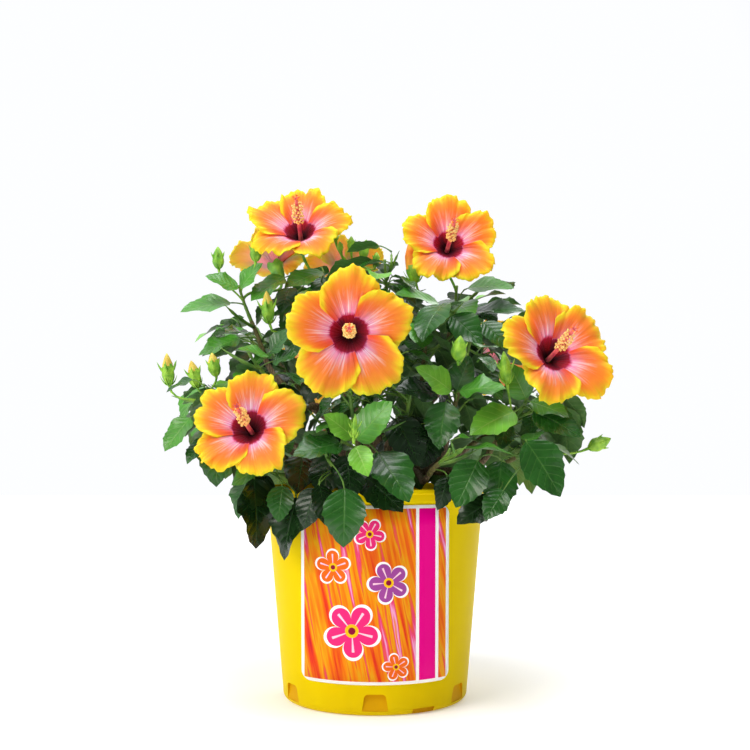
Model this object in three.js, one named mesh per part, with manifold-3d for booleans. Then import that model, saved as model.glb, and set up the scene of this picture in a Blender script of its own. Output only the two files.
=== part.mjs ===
// A hibiscus shrub in a nursery pot, in millimetres, +Z up.
// The origin is the centre of the pot's flat underside, and the side with the most open blooms faces -Y.
import * as THREE from "three";
import { mergeVertices } from "three/addons/utils/BufferGeometryUtils.js";
import Module from "manifold-3d";

const wasm = await Module();
wasm.setup();

// Driving dimensions
const gap = 0.3; // between pieces that touch
const sliver = 0.15; // seams are cleaned to this
const pot = {
  height: 215,
  footRadius: 93.7, // outside, where the wall would meet the ground
  topRadius: 111.8, // outside, under the rim band
  wall: 2.2,
  floor: 3,
  ringHeight: 40, // the foot of the wall is thicker, round the drain pockets
  ringWall: 5.5,
  bandHeight: 8.6, // the plain band under the lip
  bandProud: 1.2,
  lipHeight: 4,
  lipProud: 2.6,
  footRound: 7, // the rounded corner between wall and underside
  sides: 36,
};
const drain = {
  pockets: 6, // shallow pockets low on the wall
  pocketWidth: [25, 20], // at its foot and head
  pocketSpan: [5, 21], // heights of foot and head
  pocketDepth: 2.4,
  slots: 3, // open slots through the corner, between the pockets
  slotWidth: 24,
  slotHeight: 6,
  slotDepth: 4,
  firstSlot: 30, // degrees from the front, to the right
};
const label = { width: 143, bottom: 30.4, top: 200.4, corner: 9, thickness: 0.8 };
const soil = { top: 194, crownFlat: 26, crownDrop: 4 };
const trunk = {
  foot: [3, 8, soil.top - 6], // sunk, then cut flat just above the potting mix
  tip: [1, 12, 268],
  lean: [2, -3, 20], // how the middle bows off the straight line
  flare: 15,
  flareRun: 0.16, // share of the height that the root flare takes
  radius: [9.4, 6.2],
  sides: 9,
  steps: 8,
};
const limb = { sides: 5, steps: 4, stemSides: 4, stemSteps: 3, rise: 0.36 };
const leaf = {
  slender: 0.7, // width over length
  keel: 0.8, // how far the midrib stands out under the blade
  fold: 0.1, // how far the halves rise from the midrib
  stalk: 0.95, // radius of the stalk
};
// Of a bloom: depth and throat are shares of its radius, and each petal's lobe is a round about a middle
const bloom = {
  petals: 5,
  columns: 6, // of facets to a petal
  thickness: 1.6,
  depth: 0.5,
  throat: 0.1,
  lobe: { middle: 0.57, round: 0.43 },
  calyx: 24,
  column: 60,
  stalkSteps: 4,
};

// No leaf or twig reaches past these. The sides give the reach at some heights, and it runs straight between.
const crown = {
  left: [[165, 116], [200, 144], [240, 174], [258, 226]],
  right: [[180, 110], [200, 136], [214, 202], [262, 212]],
  front: 182,
  back: [[165, 130], [210, 180], [250, 208]],
  top: 496,
};

// Each shoot is a bough that ends where its mass of foliage begins. from and at say which limb carries
// the bough and how far along it, tip is where the bough ends, and top is the mass's own highest stem point.
const shoots = [
  { name: "centre", from: "trunk", at: 0.42, tip: [-15, -86, 246], top: [-24, -116, 306], radius: [5, 3],
    leaves: 8, twigs: 4, leaf: 66, droop: 48, turn: 250 },
  { name: "front_low", from: "centre", at: 0.62, tip: [-34, -92, 229], top: [-46, -132, 250], radius: [3.6, 2.6],
    leaves: 6, twigs: 3, leaf: 76, droop: 66, turn: 230 },
  { name: "left_low", from: "trunk", at: 0.34, tip: [-88, -50, 243], top: [-138, -58, 268], radius: [5.4, 3],
    leaves: 6, twigs: 3, leaf: 70, droop: 60, turn: 190 },
  { name: "right_high", from: "trunk", at: 0.36, tip: [115, -46, 250], top: [152, -62, 304], radius: [5.6, 3],
    leaves: 6, twigs: 3, leaf: 68, droop: 50, turn: 320 },
  { name: "front_right", from: "right_high", at: 0.3, tip: [52, -90, 229], top: [70, -130, 254], radius: [3.8, 2.6],
    leaves: 6, twigs: 3, leaf: 72, droop: 62, turn: 285 },
  { name: "centre_right", from: "trunk", at: 0.34, tip: [26, -50, 256], top: [36, -86, 318], radius: [4, 2.6],
    leaves: 7, twigs: 4, leaf: 66, droop: 50, turn: 290 },
  { name: "right_low", from: "right_high", at: 0.66, tip: [112, -74, 230], top: [160, -90, 262], radius: [3.8, 2.6],
    leaves: 6, twigs: 3, leaf: 74, droop: 60, turn: 300 },
  { name: "right_mid", from: "right_high", at: 0.42, tip: [72, -62, 266], top: [94, -74, 362], radius: [4, 2.8],
    leaves: 6, twigs: 3, leaf: 66, droop: 48, turn: 275 },
  { name: "front_left", from: "left_low", at: 0.4, tip: [-74, -62, 225], top: [-106, -84, 234], radius: [3.8, 2.6],
    leaves: 7, twigs: 3, leaf: 74, droop: 80, turn: 235 },
  { name: "left_outer", from: "left_low", at: 0.55, tip: [-118, -30, 276], top: [-170, -32, 312], radius: [4, 2.6],
    leaves: 6, twigs: 3, leaf: 62, droop: 42, turn: 180 },
  { name: "left_high", from: "trunk", at: 0.72, tip: [-116, -10, 352], top: [-142, -16, 424], radius: [5, 2.6],
    leaves: 6, twigs: 3, leaf: 60, droop: 26, turn: 170 },
  { name: "left_mid", from: "left_high", at: 0.5, tip: [-86, -44, 298], top: [-128, -66, 354], radius: [3.4, 2.4],
    leaves: 6, twigs: 3, leaf: 62, droop: 34, turn: 200 },
  { name: "top_left", from: "trunk", at: 0.9, tip: [-58, 12, 366], top: [-62, 20, 436], radius: [4.4, 2.6],
    leaves: 6, twigs: 3, leaf: 60, droop: 26, turn: 240 },
  { name: "top_mid", from: "trunk", at: 1, tip: [-10, 16, 372], top: [-22, 18, 452], radius: [6.2, 2.8],
    leaves: 6, twigs: 3, leaf: 60, droop: 28, turn: 280 },
  { name: "top_front", from: "top_mid", at: 0.55, tip: [14, -12, 388], top: [10, -44, 446], radius: [3.4, 2.4],
    leaves: 6, twigs: 3, leaf: 58, droop: 34, turn: 260 },
  { name: "top_right", from: "trunk", at: 0.56, tip: [76, 10, 356], top: [88, 16, 428], radius: [5.6, 2.8],
    leaves: 6, twigs: 3, leaf: 64, droop: 28, turn: 330 },
  { name: "inner_right", from: "top_right", at: 0.5, tip: [48, -26, 320], top: [54, -50, 396], radius: [3.4, 2.4],
    leaves: 6, twigs: 3, leaf: 62, droop: 38, turn: 290 },
  { name: "back_left", from: "trunk", at: 0.8, tip: [-80, 76, 312], top: [-136, 116, 392], radius: [4.6, 2.8],
    leaves: 6, twigs: 3, leaf: 66, droop: 42, turn: 130 },
  { name: "back_mid", from: "top_mid", at: 0.12, tip: [0, 84, 300], top: [-6, 122, 388], radius: [4.2, 2.8],
    leaves: 6, twigs: 3, leaf: 66, droop: 40, turn: 80 },
  { name: "back_right", from: "top_right", at: 0.4, tip: [76, 76, 322], top: [138, 108, 396], radius: [4.2, 2.8],
    leaves: 6, twigs: 3, leaf: 66, droop: 42, turn: 40 },
  { name: "back_low", from: "trunk", at: 0.24, tip: [2, 100, 244], top: [8, 156, 282], radius: [5, 2.8],
    leaves: 6, twigs: 3, leaf: 72, droop: 58, turn: 90 },
  { name: "right_back", from: "trunk", at: 0.48, tip: [104, 56, 256], top: [186, 76, 304], radius: [5, 2.8],
    leaves: 6, twigs: 3, leaf: 70, droop: 50, turn: 20 },
  { name: "left_back", from: "trunk", at: 0.54, tip: [-96, 56, 262], top: [-180, 74, 302], radius: [5, 2.8],
    leaves: 6, twigs: 3, leaf: 70, droop: 50, turn: 150 },
];

// Open blooms: eye is the middle of the dark eye, facing the way the bloom looks, radius the reach of its
// petals and spin the angle of its first petal. The stalk leaves the named shoot's stem at a share of it.
const blooms = [
  { name: "front", shoot: "centre", at: 0.72, eye: [-24, -132, 361], facing: [0.02, -1, -0.08], radius: 62, spin: 90 },
  { name: "low_left", shoot: "left_low", at: 0.3, eye: [-121, -102, 274], facing: [-0.17, -0.9, 0.36], radius: 58, spin: 84 },
  { name: "right", shoot: "right_high", at: 0.85, eye: [176, -78, 347], facing: [0.3, -0.87, 0.36], radius: 62, spin: 100 },
  { name: "top_right", shoot: "top_right", at: 0.9, eye: [77, -18, 466], facing: [0.1, -0.91, 0.38], radius: 54, spin: 92 },
  { name: "top_left", shoot: "top_left", at: 0.9, eye: [-79, -12, 482], facing: [-0.05, -0.78, 0.62], radius: 55, spin: 84 },
  { name: "behind_left", shoot: "left_high", at: 0.8, eye: [-112, 50, 462], facing: [-0.3, 0.4, 0.86], radius: 48, spin: 60 },
  { name: "behind_top", shoot: "top_mid", at: 0.9, eye: [-34, 86, 456], facing: [0.1, 0.55, 0.8], radius: 48, spin: 80 },
  { name: "rear_right", shoot: "back_right", at: 0.3, eye: [140, 166, 356], facing: [0.35, 0.85, 0.38], radius: 56, spin: 100 },
  { name: "rear_left", shoot: "back_left", at: 0.2, eye: [-100, 178, 330], facing: [-0.3, 0.88, 0.36], radius: 56, spin: 80 },
];

// Buds on thin stalks: tip is the top of the bud, and lean the way that it points.
const buds = [
  { shoot: "left_outer", at: 0.7, tip: [-213, -34, 351], lean: [-0.1, 0, 1], length: 33, radius: 6.5 },
  { shoot: "left_outer", at: 0.85, tip: [-187, -40, 343], lean: [-0.25, 0, 1], length: 28, radius: 6.5 },
  { shoot: "left_outer", at: 0.95, tip: [-166, -40, 351], lean: [-0.2, 0, 1], length: 24, radius: 6.5 },
  { shoot: "left_high", at: 0.75, tip: [-164, -18, 464], lean: [-0.05, 0, 1], length: 23, radius: 6.2 },
  { shoot: "left_high", at: 0.9, tip: [-124, -22, 471], lean: [0, 0, 1], length: 23, radius: 5.8 },
  { shoot: "top_left", at: 0.2, tip: [-112, -28, 416], lean: [-0.1, 0, 1], length: 34, radius: 6.8 },
  { shoot: "top_mid", at: 0.85, tip: [-43, -6, 488], lean: [-0.1, 0, 1], length: 15, radius: 4 },
  { shoot: "top_mid", at: 0.92, tip: [-9, -4, 474], lean: [0.2, 0, 1], length: 20, radius: 5.5 },
  { shoot: "right_mid", at: 0.85, tip: [82, -104, 362], lean: [0.1, 0, 1], length: 24, radius: 7.5 },
  { shoot: "right_high", at: 0.5, tip: [126, -82, 349], lean: [-0.1, 0, 1], length: 32, radius: 6 },
  { shoot: "right_low", at: 0.6, tip: [233, -66, 264], lean: [1, 0, 0.45], length: 24, radius: 7 },
  { shoot: "top_right", at: 0.5, tip: [36, -14, 470], lean: [-0.15, 0, 1], length: 44, radius: 8.5 },
];

const vec = (p) => new THREE.Vector3(...p);
const degrees = (angle) => (angle * Math.PI) / 180;
const mix = (a, b, share) => a + (b - a) * share;

// A repeatable stream of numbers from 0 to 1
function seeded(seed) {
  let state = seed >>> 0;
  return () => {
    state = (state + 0x6d2b79f5) >>> 0;
    let t = state;
    t = Math.imul(t ^ (t >>> 15), t | 1);
    t ^= t + Math.imul(t ^ (t >>> 7), t | 61);
    return ((t ^ (t >>> 14)) >>> 0) / 4294967296;
  };
}

// Solids

function solidOf(geometry) {
  const loose = (geometry.index ? geometry.toNonIndexed() : geometry).clone();
  loose.deleteAttribute("normal");
  loose.deleteAttribute("uv");
  const merged = mergeVertices(loose, 1e-4);
  return new wasm.Manifold(
    new wasm.Mesh({
      numProp: 3,
      vertProperties: merged.attributes.position.array,
      triVerts: merged.index.array,
    }),
  );
}

function geometryOf(solid) {
  const mesh = solid.getMesh();
  const position = new THREE.BufferAttribute(new Float32Array(mesh.vertProperties), 3);
  const geometry = new THREE.BufferGeometry().setAttribute("position", position);
  geometry.setIndex(new THREE.BufferAttribute(new Uint32Array(mesh.triVerts), 1));
  geometry.computeVertexNormals();
  return geometry;
}

// A closed solid from corners and triangles, turned face out if it came inside out
function solidFrom(corners, faces) {
  const build = (triangles) =>
    new wasm.Manifold(
      new wasm.Mesh({
        numProp: 3,
        vertProperties: new Float32Array(corners.flatMap((p) => [p.x, p.y, p.z])),
        triVerts: new Uint32Array(triangles.flat()),
      }),
    );
  const solid = build(faces);
  return solid.volume() > 0 ? solid : build(faces.map(([a, b, c]) => [a, c, b]));
}

// A join or a cut can leave slivers along its seams, and a loose scrap: the largest piece is kept, cleaned
function largest(solid) {
  const pieces = solid.asOriginal().simplify(sliver).decompose();
  return pieces.reduce((a, b) => (a.volume() > b.volume() ? a : b));
}

// A skin over closed rings of points, all turning the same way, with flat ends. Neighbouring rings may have
// different numbers of points.
function lofted(rings) {
  const starts = [];
  let count = 0;
  for (const ring of rings) {
    starts.push(count);
    count += ring.length;
  }
  const faces = [];
  for (let r = 0; r + 1 < rings.length; r++) {
    const [n, m] = [rings[r].length, rings[r + 1].length];
    let [i, j] = [0, 0];
    while (i < n || j < m) {
      const [here, there] = [starts[r] + (i % n), starts[r + 1] + (j % m)];
      if (j === m || (i < n && (i + 0.5) / n < (j + 0.5) / m)) {
        i++;
        faces.push([here, starts[r] + (i % n), there]);
      } else {
        j++;
        faces.push([here, starts[r + 1] + (j % m), there]);
      }
    }
  }
  const [first, last] = [0, starts.at(-1)];
  for (let k = 1; k + 1 < rings[0].length; k++) faces.push([first, first + k + 1, first + k]);
  for (let k = 1; k + 1 < rings.at(-1).length; k++) faces.push([last, last + k, last + k + 1]);
  return solidFrom(rings.flat(), faces);
}

// A ring of points round a centre, from one side direction towards another
function ringOf(centre, side, third, radius, sides, start = 0) {
  return Array.from({ length: sides }, (_, k) => {
    const angle = start + (2 * Math.PI * k) / sides;
    const out = side.clone().multiplyScalar(radius * Math.cos(angle));
    return out.addScaledVector(third, radius * Math.sin(angle)).add(centre);
  });
}

// A round, tapering solid whose rings sit at the given points of a path, each square to the path there
function ringed(points, ways, radii, sides) {
  const chord = points.at(-1).clone().sub(points[0]).normalize();
  const reference = Math.abs(chord.y) < 0.8 ? new THREE.Vector3(0, 1, 0) : new THREE.Vector3(1, 0, 0);
  return lofted(
    points.map((point, i) => {
      const across = reference.clone().addScaledVector(ways[i], -reference.dot(ways[i])).normalize();
      return ringOf(point, across, ways[i].clone().cross(across), radii[i], sides);
    }),
  );
}

// A limb along a curve, with its radius at each share of the way; grown swells it all round and at both ends
function limbSolid(curve, radiusAt, steps, sides, grown = 0) {
  const points = [];
  const ways = [];
  const radii = [];
  for (let i = 0; i <= steps; i++) {
    points.push(curve.getPoint(i / steps));
    ways.push(curve.getTangent(i / steps));
    radii.push(radiusAt(i / steps) + grown);
  }
  points[0].addScaledVector(ways[0], -grown);
  points[steps].addScaledVector(ways[steps], grown);
  return ringed(points, ways, radii, sides);
}

// The pot, its label and the potting mix

const wallRadius = (z) => mix(pot.footRadius, pot.topRadius, z / (pot.height - pot.bandHeight - pot.lipHeight));

function turned(profile) {
  const lathe = new THREE.LatheGeometry(profile.map(([r, z]) => new THREE.Vector2(r, z)), pot.sides);
  return solidOf(lathe.rotateX(Math.PI / 2));
}

function potSolid() {
  const bandFoot = pot.height - pot.bandHeight - pot.lipHeight;
  const lipFoot = pot.height - pot.lipHeight;
  const top = pot.topRadius + pot.bandProud;
  const corner = [25, 70].map((angle) => [
    wallRadius(pot.footRound) - pot.footRound * (1 - Math.sin(degrees(angle))),
    pot.footRound * (1 - Math.cos(degrees(angle))),
  ]);
  const body = turned([
    [0, 0], [wallRadius(0) - pot.footRound - 1, 0], ...corner,
    [wallRadius(bandFoot), bandFoot], [top, bandFoot + 1.2], [top + 0.4, lipFoot - 0.8],
    [top + pot.lipProud, lipFoot], [top + pot.lipProud, pot.height - 1], [top + pot.lipProud - 1, pot.height],
    [top - pot.wall, pot.height], [wallRadius(bandFoot) - pot.wall, bandFoot - 2],
    [wallRadius(pot.ringHeight) - pot.wall, pot.ringHeight],
    [wallRadius(pot.floor) - pot.ringWall, pot.floor], [0, pot.floor],
  ]);
  const cutters = [];
  for (let k = 0; k < drain.pockets; k++) cutters.push(pocketCutter((360 / drain.pockets) * k));
  for (let k = 0; k < drain.slots; k++) cutters.push(slotCutter(drain.firstSlot + (360 / drain.slots) * k));
  return body.subtract(wasm.Manifold.union(cutters));
}

// A block with its inner face at a depth into the wall, turned to its place round the pot
function pocketCutter(azimuth) {
  const [low, high] = drain.pocketSpan;
  const [foot, head] = drain.pocketWidth.map((w) => w / 2);
  const outline = new THREE.Shape([
    new THREE.Vector2(-foot, low), new THREE.Vector2(foot, low),
    new THREE.Vector2(head, high), new THREE.Vector2(-head, high),
  ]);
  const block = new THREE.ExtrudeGeometry(outline, { depth: 20, bevelEnabled: false });
  const middle = (low + high) / 2;
  block.translate(0, -middle, 0).rotateX(Math.PI / 2);
  block.rotateX(-Math.atan2(pot.topRadius - pot.footRadius, pot.height));
  block.translate(0, drain.pocketDepth - wallRadius(middle), middle);
  return solidOf(block.rotateZ(degrees(azimuth)));
}

function slotCutter(azimuth) {
  const block = new THREE.BoxGeometry(drain.slotWidth, 2 * drain.slotDepth, 2 * drain.slotHeight);
  block.translate(0, -wallRadius(0), 0);
  return solidOf(block.rotateZ(degrees(azimuth)));
}

// A sheet that hugs the front of the wall, cut to a round-cornered rectangle as seen from the front
function labelSolid() {
  const inner = (z) => wallRadius(z) + gap;
  const outer = (z) => inner(z) + label.thickness;
  const [low, high] = [label.bottom - 5, label.top + 0.6];
  const shell = turned([
    [inner(low), low], [outer(low), low], [outer(high), high], [inner(high), high], [inner(low), low],
  ]);
  const [half, c] = [label.width / 2, label.corner];
  const outline = new THREE.Shape();
  outline.absarc(half - c, label.top - c, c, 0, Math.PI / 2);
  outline.absarc(c - half, label.top - c, c, Math.PI / 2, Math.PI);
  outline.absarc(c - half, label.bottom + c, c, Math.PI, 1.5 * Math.PI);
  outline.absarc(half - c, label.bottom + c, c, 1.5 * Math.PI, 2 * Math.PI);
  const block = new THREE.ExtrudeGeometry(outline, { depth: 150, bevelEnabled: false, curveSegments: 4 });
  return shell.intersect(solidOf(block.rotateX(Math.PI / 2)));
}

function soilSolid() {
  const inside = (z) => wallRadius(z) - pot.wall - gap;
  const bottom = pot.floor + gap;
  const edge = soil.top - soil.crownDrop;
  return turned([
    [0, bottom], [wallRadius(bottom) - pot.ringWall - gap, bottom],
    [inside(pot.ringHeight), pot.ringHeight], [inside(edge), edge],
    [(inside(edge) + soil.crownFlat) / 2, mix(edge, soil.top, 0.8)], [soil.crownFlat, soil.top], [0, soil.top],
  ]);
}

// Limbs

function trunkCurve() {
  const [foot, tip] = [vec(trunk.foot), vec(trunk.tip)];
  const bow = vec(trunk.lean);
  const low = foot.clone().lerp(tip, 0.33).add(new THREE.Vector3(bow.x, bow.y, 0));
  const high = foot.clone().lerp(tip, 0.66).add(new THREE.Vector3(bow.x, bow.y, 0));
  return new THREE.CubicBezierCurve3(foot, low, high, tip);
}

function trunkRadius(t) {
  const flare = Math.max(0, 1 - t / trunk.flareRun) ** 2;
  return mix(trunk.radius[0], trunk.radius[1], t) + flare * (trunk.flare - trunk.radius[0]);
}

// A curve that leaves one point one way and reaches another point another way
function bent(start, startWay, end, endWay, ease) {
  const pull = start.distanceTo(end) * ease;
  return new THREE.CubicBezierCurve3(
    start,
    start.clone().addScaledVector(startWay, pull),
    end.clone().addScaledVector(endWay, -pull),
    end,
  );
}

// Every limb by name: its curve and its radius along it
const limbs = new Map([["trunk", { curve: trunkCurve(), radiusAt: trunkRadius }]]);

function addBough(shoot) {
  const parent = limbs.get(shoot.from);
  const start = parent.curve.getPoint(shoot.at);
  const [tip, top] = [vec(shoot.tip), vec(shoot.top)];
  const way = parent.curve.getTangent(shoot.at);
  if (shoot.at < 1) way.multiplyScalar(0.7).add(tip.clone().sub(start).normalize()).normalize();
  const endWay = top.clone().sub(tip).normalize().lerp(new THREE.Vector3(0, 0, 1), 0.15).normalize();
  if (shoot.at === 1) start.addScaledVector(way, gap);
  const curve = bent(start, way, tip, endWay, limb.rise);
  const radiusAt = (t) => mix(shoot.radius[0], shoot.radius[1], t);
  limbs.set(shoot.name, { curve, radiusAt });
  const stemStart = tip.clone().addScaledVector(endWay, gap);
  const rise = new THREE.Vector3(0, 0, 0.5);
  const stem = bent(stemStart, endWay, top, top.clone().sub(tip).normalize().add(rise).normalize(), limb.rise);
  limbs.set(shoot.name + " stem", { curve: stem, radiusAt: (t) => mix(shoot.radius[1], 1.3, t) });
}

// The value at z on straight lines between a table's rows, and the end rows' own values past them
function between(table, z) {
  const next = table.findIndex(([height]) => z < height);
  if (next <= 0) return table.at(next)[1];
  const [[z0, a], [z1, b]] = table.slice(next - 1, next + 1);
  return mix(a, b, (z - z0) / (z1 - z0));
}

function outside(p) {
  if (p.z > crown.top || p.y < -crown.front || p.y > between(crown.back, p.z)) return true;
  return p.x < -between(crown.left, p.z) || p.x > between(crown.right, p.z);
}

// The room that limbs and leaves take up, kept as a grid of small cells
const cell = 2.5;
const room = { low: [-265, -250, 0], size: [212, 200, 236] };
const cells = room.size[0] * room.size[1] * room.size[2];
const held = new Uint8Array(cells); // the owner of whatever lies in a cell
const near = new Uint8Array(cells); // the owner of whatever lies in a cell or beside it
const wood = 255; // the owner that no leaf may touch; a mass's own number is 1 and up

function cellOf(p) {
  const [i, j, k] = [p.x, p.y, p.z].map((value, axis) => Math.floor((value - room.low[axis]) / cell));
  return (k * room.size[1] + j) * room.size[0] + i;
}

// True if the points touch nothing of another owner, and little of their own mass
function isFree(points, owner) {
  let own = 0;
  for (const p of points) {
    const index = cellOf(p);
    if (near[index] && near[index] !== owner) return false;
    if (held[index]) own++;
  }
  return own <= points.length * touching;
}

function take(points, owner) {
  const [row, sheet] = [room.size[0], room.size[0] * room.size[1]];
  for (const p of points) {
    const index = cellOf(p);
    held[index] = owner;
    for (const c of [-sheet, 0, sheet])
      for (const b of [-row, 0, row]) for (const a of [-1, 0, 1]) near[index + c + b + a] = owner;
  }
}

function takeLimb({ curve, radiusAt }, owner, from = 0) {
  const steps = Math.ceil(curve.getLength() / 2);
  const points = [];
  for (let i = Math.round(steps * from); i <= steps; i++) {
    const centre = curve.getPoint(i / steps);
    points.push(centre);
    const reach = radiusAt(i / steps);
    for (let k = 0; k < 12; k++) {
      const angle = degrees(30 * k);
      points.push(centre.clone().add(new THREE.Vector3(reach * Math.cos(angle), reach * Math.sin(angle), 0)));
    }
  }
  take(points, owner);
}

// Blooms

// How far the corolla has come forward at a distance out from the bloom's line, both as shares of its radius
const petalRise = (out) => bloom.depth * (1 - (1 - Math.min(1, out)) ** 2.4);

function bloomFrame(flower) {
  const facing = vec(flower.facing).normalize();
  const right = new THREE.Vector3(-facing.y, facing.x, 0).normalize();
  const up = facing.clone().cross(right);
  // The eye is seen at the throat's mouth, a third of the way up the petals
  const base = vec(flower.eye).addScaledVector(facing, -petalRise(0.3) * flower.radius);
  return { facing, right, up, base };
}

// How far the corolla's edge is from the bloom's line at an angle off the nearest petal's middle line
function petalReach(offset) {
  const { middle, round } = bloom.lobe;
  return middle * Math.cos(offset) + Math.sqrt(round ** 2 - (middle * Math.sin(offset)) ** 2);
}

// A point of the corolla: s runs from the throat to the edge, and turn counts petals round the bloom
function corollaPoint(flower, s, turn) {
  const { frame, radius } = flower;
  const petal = Math.round(turn);
  const offset = ((turn - petal) * 2 * Math.PI) / bloom.petals;
  const angle = degrees(flower.spin) + (turn * 2 * Math.PI) / bloom.petals;
  const out = mix(bloom.throat, petalReach(offset), s);
  const ruffle = 0.05 * s ** 3 * Math.sin(7 * offset + 1.7 * petal);
  return frame.base
    .clone()
    .addScaledVector(frame.right, out * radius * Math.cos(angle))
    .addScaledVector(frame.up, out * radius * Math.sin(angle))
    .addScaledVector(frame.facing, (petalRise(out) + ruffle) * radius);
}

function corollaRing(flower, s, lift) {
  return Array.from({ length: bloom.petals * bloom.columns }, (_, j) =>
    corollaPoint(flower, s, j / bloom.columns).addScaledVector(flower.frame.facing, lift),
  );
}

// The stalk that carries a bloom or a bud, from its shoot's stem to the foot of its calyx
function stalkCurve(shoot, at, end, way) {
  const stem = limbs.get(shoot + " stem").curve;
  const start = stem.getPoint(at);
  const leave = stem.getTangent(at).multiplyScalar(0.6).add(end.clone().sub(start).normalize()).normalize();
  return bent(start, leave, end, way, 0.38);
}

// Solids of revolution along a straight line, from shares of a length and radii
function spindle(foot, way, length, radii, sides) {
  const points = radii.map((_, i) => foot.clone().addScaledVector(way, (length * i) / (radii.length - 1)));
  return ringed(points, points.map(() => way), radii, sides);
}

function addBloomStalk(flower) {
  const frame = bloomFrame(flower);
  const foot = frame.base.clone().addScaledVector(frame.facing, -bloom.calyx + 8);
  const curve = stalkCurve(flower.shoot, flower.at, foot, frame.facing);
  flower.frame = frame;
  flower.foot = foot;
  flower.stalk = { curve, radiusAt: () => 1.6, samples: curve.getSpacedPoints(40) };
  takeLimb(flower.stalk, wood, 0.15);
  takeLimb({ curve: new THREE.LineCurve3(foot, frame.base), radiusAt: () => 7 }, wood);
}

// Stalk, calyx, corolla and column under one skin: up the outside, round the petals' edge, and down the
// throat to the tip of the column
function bloomSolid(flower) {
  const { facing, right, up, base } = flower.frame;
  const start = degrees(flower.spin);
  const side = right.clone();
  const stalkRings = [];
  for (let i = bloom.stalkSteps - 1; i >= 0; i--) {
    const way = flower.stalk.curve.getTangent(i / bloom.stalkSteps);
    side.addScaledVector(way, -side.dot(way)).normalize();
    const centre = flower.stalk.curve.getPoint(i / bloom.stalkSteps);
    const radius = flower.stalk.radiusAt(i / bloom.stalkSteps);
    stalkRings.unshift(ringOf(centre, side, way.clone().cross(side), radius, bloom.petals, start));
  }
  const round = (along, radius) =>
    ringOf(base.clone().addScaledVector(facing, along), right, up, radius, bloom.petals, start);
  const foot = -flower.foot.distanceTo(base);
  const half = bloom.thickness / 2;
  const throat = petalRise(bloom.throat) * flower.radius;
  const column = bloom.column * (flower.radius / 60);
  const whole = lofted([
    ...stalkRings,
    round(foot, 2),
    round(foot * 0.6, 6.4),
    round(throat - 4, 7.4),
    corollaRing(flower, 0, -half),
    corollaRing(flower, 0.5, -half),
    corollaRing(flower, 1, 0),
    corollaRing(flower, 0.5, half),
    corollaRing(flower, 0, half),
    round(throat + 1, 2.2),
    round(column * 0.6, 1.9),
    round(column * 0.66, 5),
    round(column * 0.86, 4.6),
    round(column, 1.6),
  ]);
  const stem = limbs.get(flower.shoot + " stem");
  const grownStem = limbSolid(stem.curve, stem.radiusAt, limb.stemSteps, limb.stemSides, gap);
  return largest(whole.subtract(grownStem));
}

// True if a point lies on a bloom's petals, or in the open space in front of them
function inBloom(p) {
  return blooms.some(({ frame, radius }) => {
    const off = p.clone().sub(frame.base);
    const along = off.dot(frame.facing);
    const out = off.addScaledVector(frame.facing, -along).length() / radius;
    if (out > 1.06) return false;
    const surface = petalRise(out) * radius;
    return along > surface - 10 && along < surface + mix(130, 60, Math.min(1, out));
  });
}

// True if a point is too near a bloom's stalk, which the grid leaves open where the stalk meets its stem
function nearStalk(p) {
  return blooms.some(({ stalk }) => stalk.samples.some((q) => q.distanceTo(p) < 4));
}

// Foliage

const inPot = (p) => p.z < 5 || (p.z < pot.height + 5 && Math.hypot(p.x, p.y) < wallRadius(p.z) + 7);

// A foliage mass keeps to the points that lie nearer to its own stem than to another's, or nearly so
const giveWay = 26;

function stemDistance(name, p) {
  const { curve } = limbs.get(name + " stem");
  const [a, b] = [curve.v0, curve.v3];
  const line = b.clone().sub(a);
  const t = Math.min(1, Math.max(0, p.clone().sub(a).dot(line) / line.lengthSq()));
  return a.clone().addScaledVector(line, t).distanceTo(p);
}

function inOwnSpace(name, p) {
  const own = stemDistance(name, p);
  return shoots.every((other) => other.name === name || stemDistance(other.name, p) > own - giveWay);
}

// Half the blade's width at a share t of its length, as a share of the widest
const bladeWidth = (t) => Math.sin(Math.PI * Math.min(1, t) ** 0.72) ** 0.8;

function bladePoint(blade, t, v) {
  const half = (blade.length * leaf.slender * bladeWidth(t)) / 2;
  return blade.neck
    .clone()
    .addScaledVector(blade.along, blade.length * t)
    .addScaledVector(blade.side, v * half)
    .addScaledVector(blade.normal, leaf.fold * Math.abs(v) * half - blade.curl * blade.length * t * t);
}

function bladeSamples(blade) {
  const points = [];
  for (let i = 0; i <= 26; i++) for (let j = -9; j <= 9; j++) points.push(bladePoint(blade, i / 26, j / 9));
  return points;
}

// A leaf tries this many ways to lie before it is left out, and up to this share of it may cross its own mass
const tries = 26;
const touching = 0;

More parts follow.
